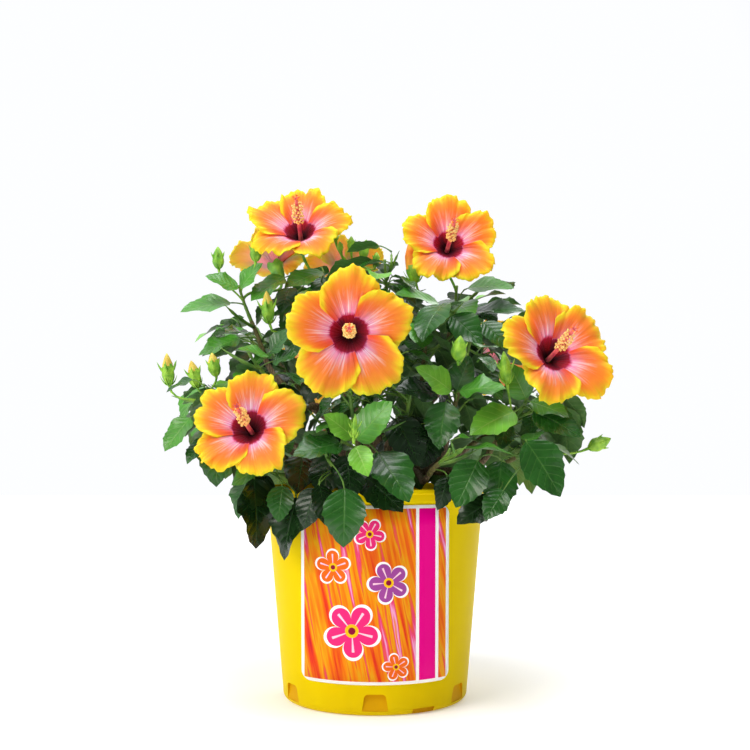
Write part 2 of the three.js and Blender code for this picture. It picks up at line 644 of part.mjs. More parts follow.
// One leaf at a place on a stem. age runs from 0 at the growing tip to 1 on old wood.
function leafAt(shoot, owner, curve, t, azimuth, age, rnd) {
  const draw = [rnd(), rnd(), rnd(), rnd()];
  const root = curve.getPoint(t);
  const off = Math.hypot(root.x, root.y);
  const outward = Math.atan2(root.y, root.x) / degrees(1);
  // Leaves near the plant's middle look every way, and those further out turn to the outside
  const spread = mix(0.95, 0.6, Math.min(1, Math.max(0, (off - 40) / 70)));
  for (let attempt = 0; attempt < tries; attempt++) {
    // Each further try turns the leaf further to one side, then the other, and tips it up or down
    const turn = 13 * Math.ceil(attempt / 2) * (attempt % 2 ? 1 : -1);
    const drop = [0, 12, -12, 22, -22][attempt % 5];
    const swing = azimuth + turn + 20 * (draw[0] - 0.5) - outward;
    const angle = degrees(outward + spread * (swing - 360 * Math.round(swing / 360)));
    const heading = new THREE.Vector3(Math.cos(angle), Math.sin(angle), 0);
    const length = shoot.leaf * mix(0.55, 1, Math.min(1, age * 2)) * mix(0.86, 1.14, draw[1]) * 0.985 ** attempt;
    const stalkRise = degrees(mix(46, 14, age) - shoot.droop * 0.25);
    const stalk = length * mix(0.24, 0.48, draw[2]) * [1, 1.35, 0.8, 1.15][attempt % 4];
    const neck = root
      .clone()
      .addScaledVector(heading, stalk * Math.cos(stalkRise))
      .add(new THREE.Vector3(0, 0, stalk * Math.sin(stalkRise)));
    const pitch = degrees(mix(18, -6, age) - shoot.droop * mix(0.35, 1, age) + 26 * (draw[3] - 0.5) - drop);
    const along = heading.clone().multiplyScalar(Math.cos(pitch));
    along.z = Math.sin(pitch);
    const flat = new THREE.Vector3(-heading.y, heading.x, 0);
    const roll = degrees(36 * (draw[2] - 0.5));
    const upright = flat.clone().cross(along).multiplyScalar(-1);
    const normal = upright.clone().multiplyScalar(Math.cos(roll)).addScaledVector(flat, Math.sin(roll));
    const side = normal.clone().cross(along);
    const blade = { root, neck, along, side, normal, length, age, curl: mix(0.08, 0.26, draw[0]) };
    const samples = bladeSamples(blade);
    const stalkPoints = [];
    for (let d = 9; d < stalk; d += 2) stalkPoints.push(root.clone().lerp(neck, d / stalk));
    const clear =
      isFree(samples, owner) &&
      isFree(stalkPoints, owner) &&
      ![3, 5, 7, 9].some((d) => nearStalk(root.clone().lerp(neck, d / stalk))) &&
      !samples.some((p) => inPot(p) || outside(p) || inBloom(p)) &&
      samples.every((p) => inOwnSpace(shoot.name, p));
    if (!clear) continue;
    take(samples, owner);
    take(stalkPoints, owner);
    return blade;
  }
  return null;
}

// One leaf and its stalk as one closed solid, the stalk's root sunk in the middle of its stem
function leafSolid(blade) {
  const { root, neck, along, side, normal } = blade;
  const ring = (centre, radius) => [
    centre.clone().addScaledVector(side, radius).addScaledVector(normal, radius * 0.6),
    centre.clone().addScaledVector(side, -radius).addScaledVector(normal, radius * 0.6),
    centre.clone().addScaledVector(normal, -radius),
  ];
  const corners = [
    ...ring(root, leaf.stalk),
    ...ring(neck.clone().addScaledVector(along, 1), leaf.stalk),
    bladePoint(blade, 0.17, 1.05), bladePoint(blade, 0.6, 1.05), bladePoint(blade, 1, 0),
    bladePoint(blade, 0.6, -1.05), bladePoint(blade, 0.17, -1.05),
    bladePoint(blade, 0.4, 0).addScaledVector(normal, -leaf.keel),
  ];
  const [r0, r1, r2, n0, n1, n2, a, b, tip, c, d, under] = corners.keys();
  const faces = [[r0, r1, r2], [n0, n2, a], [n1, d, n2], [n0, a, d], [n0, d, n1], [a, b, c], [a, c, d], [b, tip, c]];
  const lower = [n2, a, b, tip, c, d, n2];
  for (let i = 0; i + 1 < lower.length; i++) faces.push([under, lower[i + 1], lower[i]]);
  for (const [p, q, u, w] of [[r0, n0, r1, n1], [r1, n1, r2, n2], [r2, n2, r0, n0]]) faces.push([p, q, w], [p, w, u]);
  return orient(corners, faces);
}

// Turns the faces of a closed shape so that neighbours agree
function orient(corners, faces) {
  const edges = new Map();
  faces.forEach((face, f) =>
    face.forEach((p, i) => {
      const q = face[(i + 1) % 3];
      const key = p < q ? `${p} ${q}` : `${q} ${p}`;
      edges.set(key, [...(edges.get(key) ?? []), [f, p < q]]);
    }),
  );
  const flipped = new Map([[0, false]]);
  const queue = [0];
  while (queue.length) {
    const f = queue.pop();
    faces[f].forEach((p, i) => {
      const q = faces[f][(i + 1) % 3];
      const [one, two] = edges.get(p < q ? `${p} ${q}` : `${q} ${p}`);
      const [mine, other] = one[0] === f ? [one, two] : [two, one];
      if (flipped.has(other[0])) return;
      flipped.set(other[0], mine[1] === other[1] ? !flipped.get(f) : flipped.get(f));
      queue.push(other[0]);
    });
  }
  return solidFrom(corners, faces.map((face, f) => (flipped.get(f) ? [face[0], face[2], face[1]] : face)));
}

// The stem, twigs and leaves of one mass
function growFoliage(shoot, number) {
  const rnd = seeded(7919 * (number + 1));
  const owner = number + 1;
  const stem = limbs.get(shoot.name + " stem");
  const grown = { twigs: [], blades: [] };
  const golden = 137.5;
  const perTwig = 3;
  for (let k = 0; k < shoot.twigs; k++) {
    const start = stem.curve.getPoint(mix(0.1, 0.66, shoot.twigs > 1 ? k / (shoot.twigs - 1) : 0));
    const outward = Math.atan2(start.y, start.x) / degrees(1);
    // Twigs reach to either side of the mass first, then to the outside and back
    const angle = degrees(outward + [-72, 68, -8, 165][k % 4] + 36 * (rnd() - 0.5));
    const way = new THREE.Vector3(Math.cos(angle), Math.sin(angle), mix(0.15, 0.85, rnd())).normalize();
    const end = start.clone().addScaledVector(way, mix(38, 60, rnd()));
    const curve = new THREE.QuadraticBezierCurve3(start, start.clone().lerp(end, 0.5).add(new THREE.Vector3(0, 0, -4)), end);
    const points = [0.35, 0.5, 0.65, 0.8, 1].map((share) => curve.getPoint(share));
    const barred = !isFree(points, owner) || points.some((p) => inPot(p) || outside(p) || inBloom(p) || !inOwnSpace(shoot.name, p));
    if (barred || [0.1, 0.2, 0.3].some((share) => nearStalk(curve.getPoint(share)))) continue;
    grown.twigs.push({ curve, radiusAt: (share) => mix(1.9, 1.2, share), number: k });
    takeLimb(grown.twigs.at(-1), owner, 0.3);
  }
  for (let i = 0; i < shoot.leaves; i++) {
    const up = 1 - i / (shoot.leaves - 1);
    const blade = leafAt(shoot, owner, stem.curve, mix(0.06, 1, up), shoot.turn + golden * i, 1 - up, rnd);
    if (blade) grown.blades.push(blade);
  }
  for (const twig of grown.twigs)
    for (let i = 0; i < perTwig; i++) {
      const t = 1 - 0.3 * i;
      const blade = leafAt(shoot, owner, twig.curve, t, shoot.turn + 60 * twig.number + golden * i, 0.2 + 0.3 * i, rnd);
      if (blade) grown.blades.push(blade);
    }
  return grown;
}

function budFoot(bud) {
  return vec(bud.tip).addScaledVector(vec(bud.lean).normalize(), -bud.length);
}

function budSolid(bud) {
  const lean = vec(bud.lean).normalize();
  const foot = budFoot(bud);
  const side = new THREE.Vector3(0, 1, 0).addScaledVector(lean, -lean.y).normalize();
  const third = lean.clone().cross(side);
  const round = (along, radius, sides) =>
    ringOf(foot.clone().addScaledVector(lean, along * bud.length), side, third, radius, sides);
  const rings = [];
  for (let i = 0; i < 3; i++) {
    const way = bud.stalk.curve.getTangent(i / 3);
    const across = side.clone().addScaledVector(way, -side.dot(way)).normalize();
    rings.push(ringOf(bud.stalk.curve.getPoint(i / 3), across, way.clone().cross(across), 1.1, 3));
  }
  return lofted([...rings, round(0, 1.6, 3), round(0.3, bud.radius, 5), round(0.66, bud.radius * 0.8, 5), round(1, 0.5, 3)]);
}

function foliageSolid(shoot, grown) {
  const stem = limbs.get(shoot.name + " stem");
  const parts = [limbSolid(stem.curve, stem.radiusAt, limb.stemSteps, limb.stemSides)];
  for (const twig of grown.twigs) parts.push(limbSolid(twig.curve, twig.radiusAt, 2, 3));
  for (const blade of grown.blades) parts.push(leafSolid(blade));
  for (const bud of buds) if (bud.shoot === shoot.name) parts.push(budSolid(bud));
  return largest(wasm.Manifold.union(parts));
}

// The whole plant

const plant = new THREE.Group();

function addMesh(name, solid, material) {
  const mesh = new THREE.Mesh(geometryOf(solid), material);
  mesh.name = name;
  plant.add(mesh);
}

const material = (color, roughness) => new THREE.MeshStandardMaterial({ color, roughness, metalness: 0 });
const finishes = {
  pot: material("#f2d40f", 0.42),
  label: material("#f08a1c", 0.35),
  soil: material("#33241a", 0.95),
  bark: material("#6b5a41", 0.8),
  leaf: material("#2c5a26", 0.45),
  petal: material("#f98b3a", 0.6),
};

shoots.forEach(addBough);
takeLimb(limbs.get("trunk"), wood);
shoots.forEach((shoot, number) => {
  takeLimb(limbs.get(shoot.name), wood, 0.1);
  takeLimb(limbs.get(shoot.name + " stem"), number + 1);
});
blooms.forEach(addBloomStalk);
for (const bud of buds) {
  const way = vec(bud.lean).normalize();
  const owner = shoots.findIndex((shoot) => shoot.name === bud.shoot) + 1;
  bud.stalk = { curve: stalkCurve(bud.shoot, bud.at, budFoot(bud), way), radiusAt: () => 1.1 };
  takeLimb(bud.stalk, owner, 0.15);
  takeLimb({ curve: new THREE.LineCurve3(budFoot(bud), vec(bud.tip)), radiusAt: () => bud.radius }, owner);
}

addMesh("pot", potSolid(), finishes.pot);
addMesh("pot_label", labelSolid(), finishes.label);
addMesh("potting_mix", soilSolid(), finishes.soil);
const wholeTrunk = limbSolid(limbs.get("trunk").curve, trunkRadius, trunk.steps, trunk.sides);
addMesh("trunk", wholeTrunk.trimByPlane([0, 0, 1], soil.top + gap), finishes.bark);

// Each bough is cut clear of the trunk and of the boughs that were there before it
const grownLimbs = [limbSolid(limbs.get("trunk").curve, trunkRadius, trunk.steps, trunk.sides, gap)];
for (const shoot of shoots) {
  const { curve, radiusAt } = limbs.get(shoot.name);
  const whole = limbSolid(curve, radiusAt, limb.steps, limb.sides);
  addMesh("bough_" + shoot.name, largest(whole.subtract(wasm.Manifold.union(grownLimbs))), finishes.bark);
  grownLimbs.push(limbSolid(curve, radiusAt, limb.steps, limb.sides, gap));
}

shoots.forEach((shoot, number) => {
  shoot.grown = growFoliage(shoot, number);
  addMesh("foliage_" + shoot.name, foliageSolid(shoot, shoot.grown), finishes.leaf);
});
for (const flower of blooms) addMesh("bloom_" + flower.name, bloomSolid(flower), finishes.petal);

export default plant;
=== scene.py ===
# A flowering hibiscus in a yellow nursery pot. The plant grows here by the same rule as its solids,
# in millimetres, and is carried on to finer twigs, toothed leaves, petals, anthers and bark.
import bpy
import bmesh
import math
import numpy as np
from mathutils import Matrix, Vector, noise
from mathutils.bvhtree import BVHTree


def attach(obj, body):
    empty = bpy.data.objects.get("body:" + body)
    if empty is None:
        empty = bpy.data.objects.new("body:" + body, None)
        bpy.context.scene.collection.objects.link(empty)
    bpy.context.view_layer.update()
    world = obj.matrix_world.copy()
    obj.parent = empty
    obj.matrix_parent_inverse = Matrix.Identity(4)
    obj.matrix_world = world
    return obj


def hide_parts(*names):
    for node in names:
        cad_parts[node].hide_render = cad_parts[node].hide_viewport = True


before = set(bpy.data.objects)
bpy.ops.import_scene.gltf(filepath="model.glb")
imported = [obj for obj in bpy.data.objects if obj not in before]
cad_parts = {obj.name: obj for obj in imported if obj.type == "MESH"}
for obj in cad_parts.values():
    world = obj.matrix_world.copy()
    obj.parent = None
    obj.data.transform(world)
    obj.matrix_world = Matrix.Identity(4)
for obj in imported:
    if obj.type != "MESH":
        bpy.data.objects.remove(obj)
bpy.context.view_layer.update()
mm = 0.001
print("frame loaded,", len(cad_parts), "solids")

# Small helpers


def mix(a, b, share):
    return a + (b - a) * share


def unit(v):
    return v / np.linalg.norm(v)


def arr(*numbers):
    return np.array(numbers, dtype=float)


up = arr(0, 0, 1)


def jsRound(x):
    return math.floor(x + 0.5)


def seeded(seed):
    # a repeatable stream of numbers from 0 to 1
    state = [seed & 0xFFFFFFFF]

    def draw():
        state[0] = (state[0] + 0x6D2B79F5) & 0xFFFFFFFF
        t = state[0]
        t = ((t ^ (t >> 15)) * (t | 1)) & 0xFFFFFFFF
        t ^= (t + (((t ^ (t >> 7)) * (t | 61)) & 0xFFFFFFFF)) & 0xFFFFFFFF
        return (t ^ (t >> 14)) / 4294967296

    return draw


def linear(code):
    # sRGB hex to the linear colour that a shader socket takes
    parts = [int(code[i:i + 2], 16) / 255 for i in (1, 3, 5)]
    return tuple(p / 12.92 if p <= 0.04045 else ((p + 0.055) / 1.055) ** 2.4 for p in parts) + (1.0,)


def add(tree, kind, feed=None, stops=None, out=0, **settings):
    # adds one node with its settings, its ramp's stops and what feeds it, and gives back one output
    node = tree.nodes.new("ShaderNode" + kind)
    for key, value in settings.items():
        setattr(node, key, value)
    for key, value in (feed or {}).items():
        if isinstance(value, bpy.types.NodeSocket):
            tree.links.new(value, node.inputs[key])
        else:
            node.inputs[key].default_value = linear(value) if isinstance(value, str) else value
    for i, (place, code) in enumerate(stops or []):
        steps = node.color_ramp.elements
        step = steps[i] if i < 2 else steps.new(place)
        step.position, step.color = place, linear(code)
    return node.outputs[out]


def startMaterial(name, constants):
    material = bpy.data.materials.new(name)
    material.use_nodes = True
    shader = material.node_tree.nodes["Principled BSDF"]
    for key, value in constants.items():
        shader.inputs[key].default_value = linear(value) if isinstance(value, str) else value
    return material, material.node_tree


def fed(material, sources):
    # links the outputs that carry the pattern to the shader's sockets
    tree = material.node_tree
    for key, source in sources.items():
        tree.links.new(source, tree.nodes["Principled BSDF"].inputs[key])
    return material


def tableOf(keys, rows):
    # one dictionary for each row, by the names of its columns
    return [dict(zip(keys, row)) for row in rows]


def finishPiece(piece, slot, *nodes):
    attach(piece, "root")
    if nodes:
        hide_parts(*nodes)
    return piece


def objectFrom(mesh, name):
    piece = bpy.data.objects.new(name, mesh)
    bpy.context.scene.collection.objects.link(piece)
    return piece


def objectFromBmesh(bm, name, materials):
    mesh = bpy.data.meshes.new(name)
    bm.to_mesh(mesh)
    bm.free()
    for material in materials:
        mesh.materials.append(material)
    return objectFrom(mesh, name)


def applied(piece):
    # the piece's mesh with its modifiers taken in, and the piece removed
    shown = piece.evaluated_get(bpy.context.evaluated_depsgraph_get())
    mesh = bpy.data.meshes.new_from_object(shown)
    bpy.data.objects.remove(piece)
    return mesh


# The stage: camera, floor and lights

stage = {
    "lens": 53.04,
    "cameraAt": (0, -1160, 257),
    "cameraPitch": 3.65,
    "floorSize": 9000,
    "floorColour": "#f1f0ee",
    "floorGlow": (0.24, 0.78),  # a light table under the plant, brighter towards the backdrop
    "skyColour": "#fbfcff",
    "backdrop": 1.02,
    "backdropWay": (-0.65, 1, 0),
    "room": 0.17,
    # place, aim, side of the square in millimetres, watts and tint
    "lamps": {
        "keyLamp": ((-1250, -1150, 1250), (0, 0, 300), 1000, 21, "#fffaf2"),
        "topLamp": ((50, -350, 1900), (0, 0, 300), 1200, 28, "#fbfdff"),
        "backLamp": ((900, 1500, 1000), (0, 0, 300), 1200, 10, "#ffffff"),
    },
}


def buildStage():
    scene = bpy.context.scene
    scene.view_settings.view_transform = "Standard"
    camera = bpy.data.objects.new("camera", bpy.data.cameras.new("camera"))
    camera.data.lens = stage["lens"]
    camera.data.sensor_width = 36
    camera.data.clip_end = 50
    camera.location = [c * mm for c in stage["cameraAt"]]
    camera.rotation_euler = (math.radians(90 + stage["cameraPitch"]), 0, 0)
    scene.collection.objects.link(camera)
    scene.camera = camera
    for name, (place, aim, side, watts, tint) in stage["lamps"].items():
        lamp = bpy.data.objects.new(name, bpy.data.lights.new(name, "AREA"))
        lamp.data.size = side * mm
        lamp.data.energy = watts
        lamp.data.color = linear(tint)[:3]
        lamp.location = [c * mm for c in place]
        lamp.rotation_euler = (Vector(aim) - Vector(place)).to_track_quat("-Z", "Y").to_euler()
        scene.collection.objects.link(lamp)
    world = bpy.data.worlds.new("paleRoom")
    world.use_nodes = True
    tree = world.node_tree
    sky = tree.nodes["Background"].inputs
    sky["Color"].default_value = linear(stage["skyColour"])
    # a lit backdrop stands behind the plant and to its left, and the room is dimmer before it
    place = add(tree, "TexCoord", out="Generated")
    lit = add(tree, "VectorMath", {0: place, 1: stage["backdropWay"]}, out=1, operation="DOT_PRODUCT")
    light = add(tree, "MapRange", {0: lit, 1: -0.3, 2: 0.7, 3: stage["room"], 4: stage["backdrop"]})
    tree.links.new(light, sky["Strength"])
    scene.world = world
    bm = bmesh.new()
    bmesh.ops.create_grid(bm, x_segments=1, y_segments=1, size=stage["floorSize"] * mm / 2)
    material, tree = startMaterial("paleFloor", {
        "Base Color": stage["floorColour"], "Roughness": 0.7, "Emission Color": "#ffffff",
    })
    # the glow rises between 0.4 and 2.2 m from the pot
    away = add(tree, "VectorMath", {0: add(tree, "TexCoord", out="Object")}, out=1, operation="LENGTH")
    nearGlow, farGlow = stage["floorGlow"]
    glow = add(tree, "MapRange", {0: away, 1: 0.4, 2: 2.2, 3: nearGlow, 4: farGlow})
    objectFromBmesh(bm, "floor", [fed(material, {"Emission Strength": glow})])


buildStage()
print("stage set")

# The rule by which the plant grows, in millimetres

gap = 0.3  # between solids that stand against each other
pot = {
    "height": 215, "footRadius": 93.7, "topRadius": 111.8, "wall": 2.2, "floor": 3,
    "ringHeight": 40, "ringWall": 5.5, "bandHeight": 8.6, "bandProud": 1.2,
    "lipHeight": 4, "lipProud": 2.6, "footRound": 7, "turns": 144,
    "clearAbove": 5, "clearBeside": 7,  # room that leaves and twigs leave round it
}
soil = {"top": 194, "crownFlat": 26, "crownDrop": 4}
trunk = {
    "foot": arr(3, 8, 188), "tip": arr(1, 12, 268), "bow": arr(2, -3, 0),
    "flare": 15, "flareRun": 0.16, "radius": (9.4, 6.2),
}
rise = 0.36  # how far a limb keeps its first and last direction, as a share of its run
goldenTurn = 137.5  # degrees from one leaf to the next round a stem
leaf = {
    "slender": 0.7, "fold": 0.1,
    "giveWay": 26,  # how far a leaf may reach over the line halfway to another mass's stem
    "youngest": 0.55, "sizes": (0.86, 1.14), "curl": (0.08, 0.26), "roll": 36,
    "stalk": (0.24, 0.48), "stalkRise": (46, 14), "stalkDroop": 0.25,
    "pitch": (18, -6), "droop": (0.35, 1), "nod": 26, "swing": 20,
    # how far a leaf keeps its drawn direction in the plant's middle and outside, where it turns outwards
    "spread": (0.95, 0.6), "spreadFrom": 40, "spreadRun": 70,
    # each further try turns, drops, shrinks or sets the leaf off by another length of stalk
    "tries": 26, "tryTurn": 13, "tryDrops": (0, 12, -12, 22, -22), "tryShrink": 0.985,
    "tryStalks": (1, 1.35, 0.8, 1.15),
}
twigRule = {
    "along": (0.1, 0.66), "turns": (-72, 68, -8, 165), "swing": 36, "rise": (0.15, 0.85),
    "reach": (38, 60), "sag": 4, "radius": (1.9, 1.2),
    "leaves": 3, "leafStep": 0.3, "leafAge": (0.2, 0.3), "leafTurn": 60,
}
bloom = {
    "petals": 5, "depth": 0.5, "calyx": 24, "calyxSunk": 8, "column": 60,
    "stalkRadius": 1.6, "calyxRadius": 7,
    # room that leaves leave: shares of the reach to the side, then behind and before the petals
    "clearRound": 1.06, "clearBehind": 10, "clearBefore": (130, 60), "stalkRoom": 4,
}
crown = {
    "left": ((165, 200, 240, 258), (116, 144, 174, 226)),
    "right": ((180, 200, 214, 262), (110, 136, 202, 212)),
    "back": ((165, 210, 250), (130, 180, 208)),
    "front": 182, "top": 496,
}
# name, limb that carries the bough, how far along it, bough's tip, top of the mass's stem, bough's radii,
# leaves on the stem, twigs, leaf length, droop, direction of the first leaf
shootKeys = ("name", "from", "at", "tip", "top", "radius", "leaves", "twigs", "leaf", "droop", "turn")
shoots = tableOf(shootKeys, [
    ("centre", "trunk", 0.42, (-15, -86, 246), (-24, -116, 306), (5, 3), 8, 4, 66, 48, 250),
    ("front_low", "centre", 0.62, (-34, -92, 229), (-46, -132, 250), (3.6, 2.6), 6, 3, 76, 66, 230),
    ("left_low", "trunk", 0.34, (-88, -50, 243), (-138, -58, 268), (5.4, 3), 6, 3, 70, 60, 190),
    ("right_high", "trunk", 0.36, (115, -46, 250), (152, -62, 304), (5.6, 3), 6, 3, 68, 50, 320),
    ("front_right", "right_high", 0.3, (52, -90, 229), (70, -130, 254), (3.8, 2.6), 6, 3, 72, 62, 285),
    ("centre_right", "trunk", 0.34, (26, -50, 256), (36, -86, 318), (4, 2.6), 7, 4, 66, 50, 290),
    ("right_low", "right_high", 0.66, (112, -74, 230), (160, -90, 262), (3.8, 2.6), 6, 3, 74, 60, 300),
    ("right_mid", "right_high", 0.42, (72, -62, 266), (94, -74, 362), (4, 2.8), 6, 3, 66, 48, 275),
    ("front_left", "left_low", 0.4, (-74, -62, 225), (-106, -84, 234), (3.8, 2.6), 7, 3, 74, 80, 235),
    ("left_outer", "left_low", 0.55, (-118, -30, 276), (-170, -32, 312), (4, 2.6), 6, 3, 62, 42, 180),
    ("left_high", "trunk", 0.72, (-116, -10, 352), (-142, -16, 424), (5, 2.6), 6, 3, 60, 26, 170),
    ("left_mid", "left_high", 0.5, (-86, -44, 298), (-128, -66, 354), (3.4, 2.4), 6, 3, 62, 34, 200),
    ("top_left", "trunk", 0.9, (-58, 12, 366), (-62, 20, 436), (4.4, 2.6), 6, 3, 60, 26, 240),
    ("top_mid", "trunk", 1, (-10, 16, 372), (-22, 18, 452), (6.2, 2.8), 6, 3, 60, 28, 280),
    ("top_front", "top_mid", 0.55, (14, -12, 388), (10, -44, 446), (3.4, 2.4), 6, 3, 58, 34, 260),
    ("top_right", "trunk", 0.56, (76, 10, 356), (88, 16, 428), (5.6, 2.8), 6, 3, 64, 28, 330),
    ("inner_right", "top_right", 0.5, (48, -26, 320), (54, -50, 396), (3.4, 2.4), 6, 3, 62, 38, 290),
    ("back_left", "trunk", 0.8, (-80, 76, 312), (-136, 116, 392), (4.6, 2.8), 6, 3, 66, 42, 130),
    ("back_mid", "top_mid", 0.12, (0, 84, 300), (-6, 122, 388), (4.2, 2.8), 6, 3, 66, 40, 80),
    ("back_right", "top_right", 0.4, (76, 76, 322), (138, 108, 396), (4.2, 2.8), 6, 3, 66, 42, 40),
    ("back_low", "trunk", 0.24, (2, 100, 244), (8, 156, 282), (5, 2.8), 6, 3, 72, 58, 90),
    ("right_back", "trunk", 0.48, (104, 56, 256), (186, 76, 304), (5, 2.8), 6, 3, 70, 50, 20),
    ("left_back", "trunk", 0.54, (-96, 56, 262), (-180, 74, 302), (5, 2.8), 6, 3, 70, 50, 150),
])
# name, shoot whose stem carries the stalk, how far along it, middle of the eye, way it looks, reach, spin
blooms = tableOf(("name", "shoot", "at", "eye", "facing", "radius", "spin"), [
    ("front", "centre", 0.72, (-24, -132, 361), (0.02, -1, -0.08), 62, 90),
    ("low_left", "left_low", 0.3, (-121, -102, 274), (-0.17, -0.9, 0.36), 58, 84),
    ("right", "right_high", 0.85, (176, -78, 347), (0.3, -0.87, 0.36), 62, 100),
    ("top_right", "top_right", 0.9, (77, -18, 466), (0.1, -0.91, 0.38), 54, 92),
    ("top_left", "top_left", 0.9, (-79, -12, 482), (-0.05, -0.78, 0.62), 55, 84),
    ("behind_left", "left_high", 0.8, (-112, 50, 462), (-0.3, 0.4, 0.86), 48, 60),
    ("behind_top", "top_mid", 0.9, (-34, 86, 456), (0.1, 0.55, 0.8), 48, 80),
    ("rear_right", "back_right", 0.3, (140, 166, 356), (0.35, 0.85, 0.38), 56, 100),
    ("rear_left", "back_left", 0.2, (-100, 178, 330), (-0.3, 0.88, 0.36), 56, 80),
])
# shoot, how far along its stem, tip, lean, length, radius, and how far open
budStalkRadius = 1.1
budKeys = ("shoot", "at", "tip", "lean", "length", "radius", "look")
buds = tableOf(budKeys, [
    ("left_outer", 0.7, (-213, -34, 351), (-0.1, 0, 1), 33, 6.5, "showing"),
    ("left_outer", 0.85, (-187, -40, 343), (-0.25, 0, 1), 28, 6.5, "showing"),
    ("left_outer", 0.95, (-166, -40, 351), (-0.2, 0, 1), 24, 6.5, "showing"),
    ("left_high", 0.75, (-164, -18, 464), (-0.05, 0, 1), 23, 6.2, "closed"),
    ("left_high", 0.9, (-124, -22, 471), (0, 0, 1), 23, 5.8, "closed"),
    ("top_left", 0.2, (-112, -28, 416), (-0.1, 0, 1), 34, 6.8, "showing"),
    ("top_mid", 0.85, (-43, -6, 488), (-0.1, 0, 1), 15, 4, "closed"),
    ("top_mid", 0.92, (-9, -4, 474), (0.2, 0, 1), 20, 5.5, "closed"),
    ("right_mid", 0.85, (82, -104, 362), (0.1, 0, 1), 24, 7.5, "closed"),
    ("right_high", 0.5, (126, -82, 349), (-0.1, 0, 1), 32, 6, "closed"),
    ("right_low", 0.6, (233, -66, 264), (1, 0, 0.45), 24, 7, "closed"),
    ("top_right", 0.5, (36, -14, 470), (-0.15, 0, 1), 44, 8.5, "furled"),
])


# A curve is the four corners of a cubic
def curvePoint(curve, t):
    t = np.asarray(t, dtype=float)[..., None]
    a, b, c, d = curve
    return a * (1 - t) ** 3 + 3 * b * t * (1 - t) ** 2 + 3 * c * t * t * (1 - t) + d * t ** 3


def curveWay(curve, t):
    t = min(1, max(0, t))
    a, b, c, d = curve
    return unit((b - a) * (1 - t) ** 2 + 2 * (c - b) * t * (1 - t) + (d - c) * t * t)


def bent(start, startWay, end, endWay, ease):
    pull = np.linalg.norm(end - start) * ease
    return np.array([start, start + startWay * pull, end - endWay * pull, end])


def raised(start, middle, end):
    # a curve through one middle corner as a cubic
    return np.array([start, mix(start, middle, 2 / 3), mix(end, middle, 2 / 3), end])


def curveLength(curve):
    return np.linalg.norm(np.diff(curvePoint(curve, np.linspace(0, 1, 201)), axis=0), axis=1).sum()


def evenPoints(curve, count):
    dense = curvePoint(curve, np.linspace(0, 1, 201))
    run = np.concatenate([[0], np.cumsum(np.linalg.norm(np.diff(dense, axis=0), axis=1))])
    places = np.linspace(0, run[-1], count + 1)
    return np.stack([np.interp(places, run, dense[:, k]) for k in range(3)], axis=1)


def wallRadius(z):
    # the wall is straight up to the rim's band
    bandFoot = pot["height"] - pot["bandHeight"] - pot["lipHeight"]
    return mix(pot["footRadius"], pot["topRadius"], z / bandFoot)


def trunkRadius(t):
    low, high = trunk["radius"]
    return mix(low, high, t) + max(0, 1 - t / trunk["flareRun"]) ** 2 * (trunk["flare"] - low)


def between(low, high):
    return lambda t: mix(low, high, t)


# every limb by name: its curve and its radius along it
limbs = {}


def addTrunk():
    foot, tip = trunk["foot"], trunk["tip"]
    curve = np.array([foot, mix(foot, tip, 0.33) + trunk["bow"], mix(foot, tip, 0.66) + trunk["bow"], tip])
    limbs["trunk"] = (curve, trunkRadius)


def addBough(shoot):
    parent, at = limbs[shoot["from"]][0], shoot["at"]
    start = curvePoint(parent, at)
    tip, top = arr(*shoot["tip"]), arr(*shoot["top"])
    way = curveWay(parent, at)
    if at < 1:
        way = unit(way * 0.7 + unit(tip - start))
    else:
        start = start + way * gap
    endWay = unit(mix(unit(top - tip), up, 0.15))
    limbs[shoot["name"]] = (bent(start, way, tip, endWay, rise), between(*shoot["radius"]))
    stem = bent(tip + endWay * gap, endWay, top, unit(unit(top - tip) + up * 0.5), rise)
    limbs[shoot["name"] + " stem"] = (stem, between(shoot["radius"][1], 1.3))


# the room that limbs and leaves take up, as a grid of small cells
cell = 2.5
roomLow = arr(-265, -250, 0)
roomSize = (212, 200, 236)
held = np.zeros(roomSize[0] * roomSize[1] * roomSize[2], dtype=np.uint8)
near = np.zeros_like(held)
wood = 255
row, sheet = roomSize[0], roomSize[0] * roomSize[1]
aroundCells = np.array([a + b * row + c * sheet for c in (-1, 0, 1) for b in (-1, 0, 1) for a in (-1, 0, 1)])


def cellOf(points):
    i, j, k = np.floor((points - roomLow) / cell).astype(int).T
    return k * sheet + j * row + i


def isFree(points, owner, touching=0.0, crowd=near):
    cells = cellOf(points)
    other = crowd[cells]
    if np.any((other != 0) & (other != owner)):
        return False
    return np.count_nonzero(held[cells]) <= len(points) * touching


def take(points, owner):
    cells = cellOf(points)
    held[cells] = owner
    near[(cells[:, None] + aroundCells).ravel()] = owner


def takeLimb(curve, radiusAt, owner, start=0.0):
    steps = math.ceil(curveLength(curve) / 2)
    shares = np.arange(jsRound(steps * start), steps + 1) / steps
    centres = curvePoint(curve, shares)
    reach = np.array([radiusAt(t) for t in shares])
    sides = 12
    angles = np.radians(np.arange(sides) * 360 / sides)
    ring = np.stack([np.cos(angles), np.sin(angles), np.zeros(sides)], axis=1)
    skin = (centres[:, None] + reach[:, None, None] * ring).reshape(-1, 3)
    take(np.concatenate([centres, skin]), owner)


def petalRise(out):
    return bloom["depth"] * (1 - (1 - np.minimum(1, out)) ** 2.4)


def straight(a, b):
    return np.array([a, mix(a, b, 1 / 3), mix(a, b, 2 / 3), b])


def stalkCurve(shoot, at, end, way):
    stem = limbs[shoot + " stem"][0]
    start = curvePoint(stem, at)
    return bent(start, unit(curveWay(stem, at) * 0.6 + unit(end - start)), end, way, 0.38)


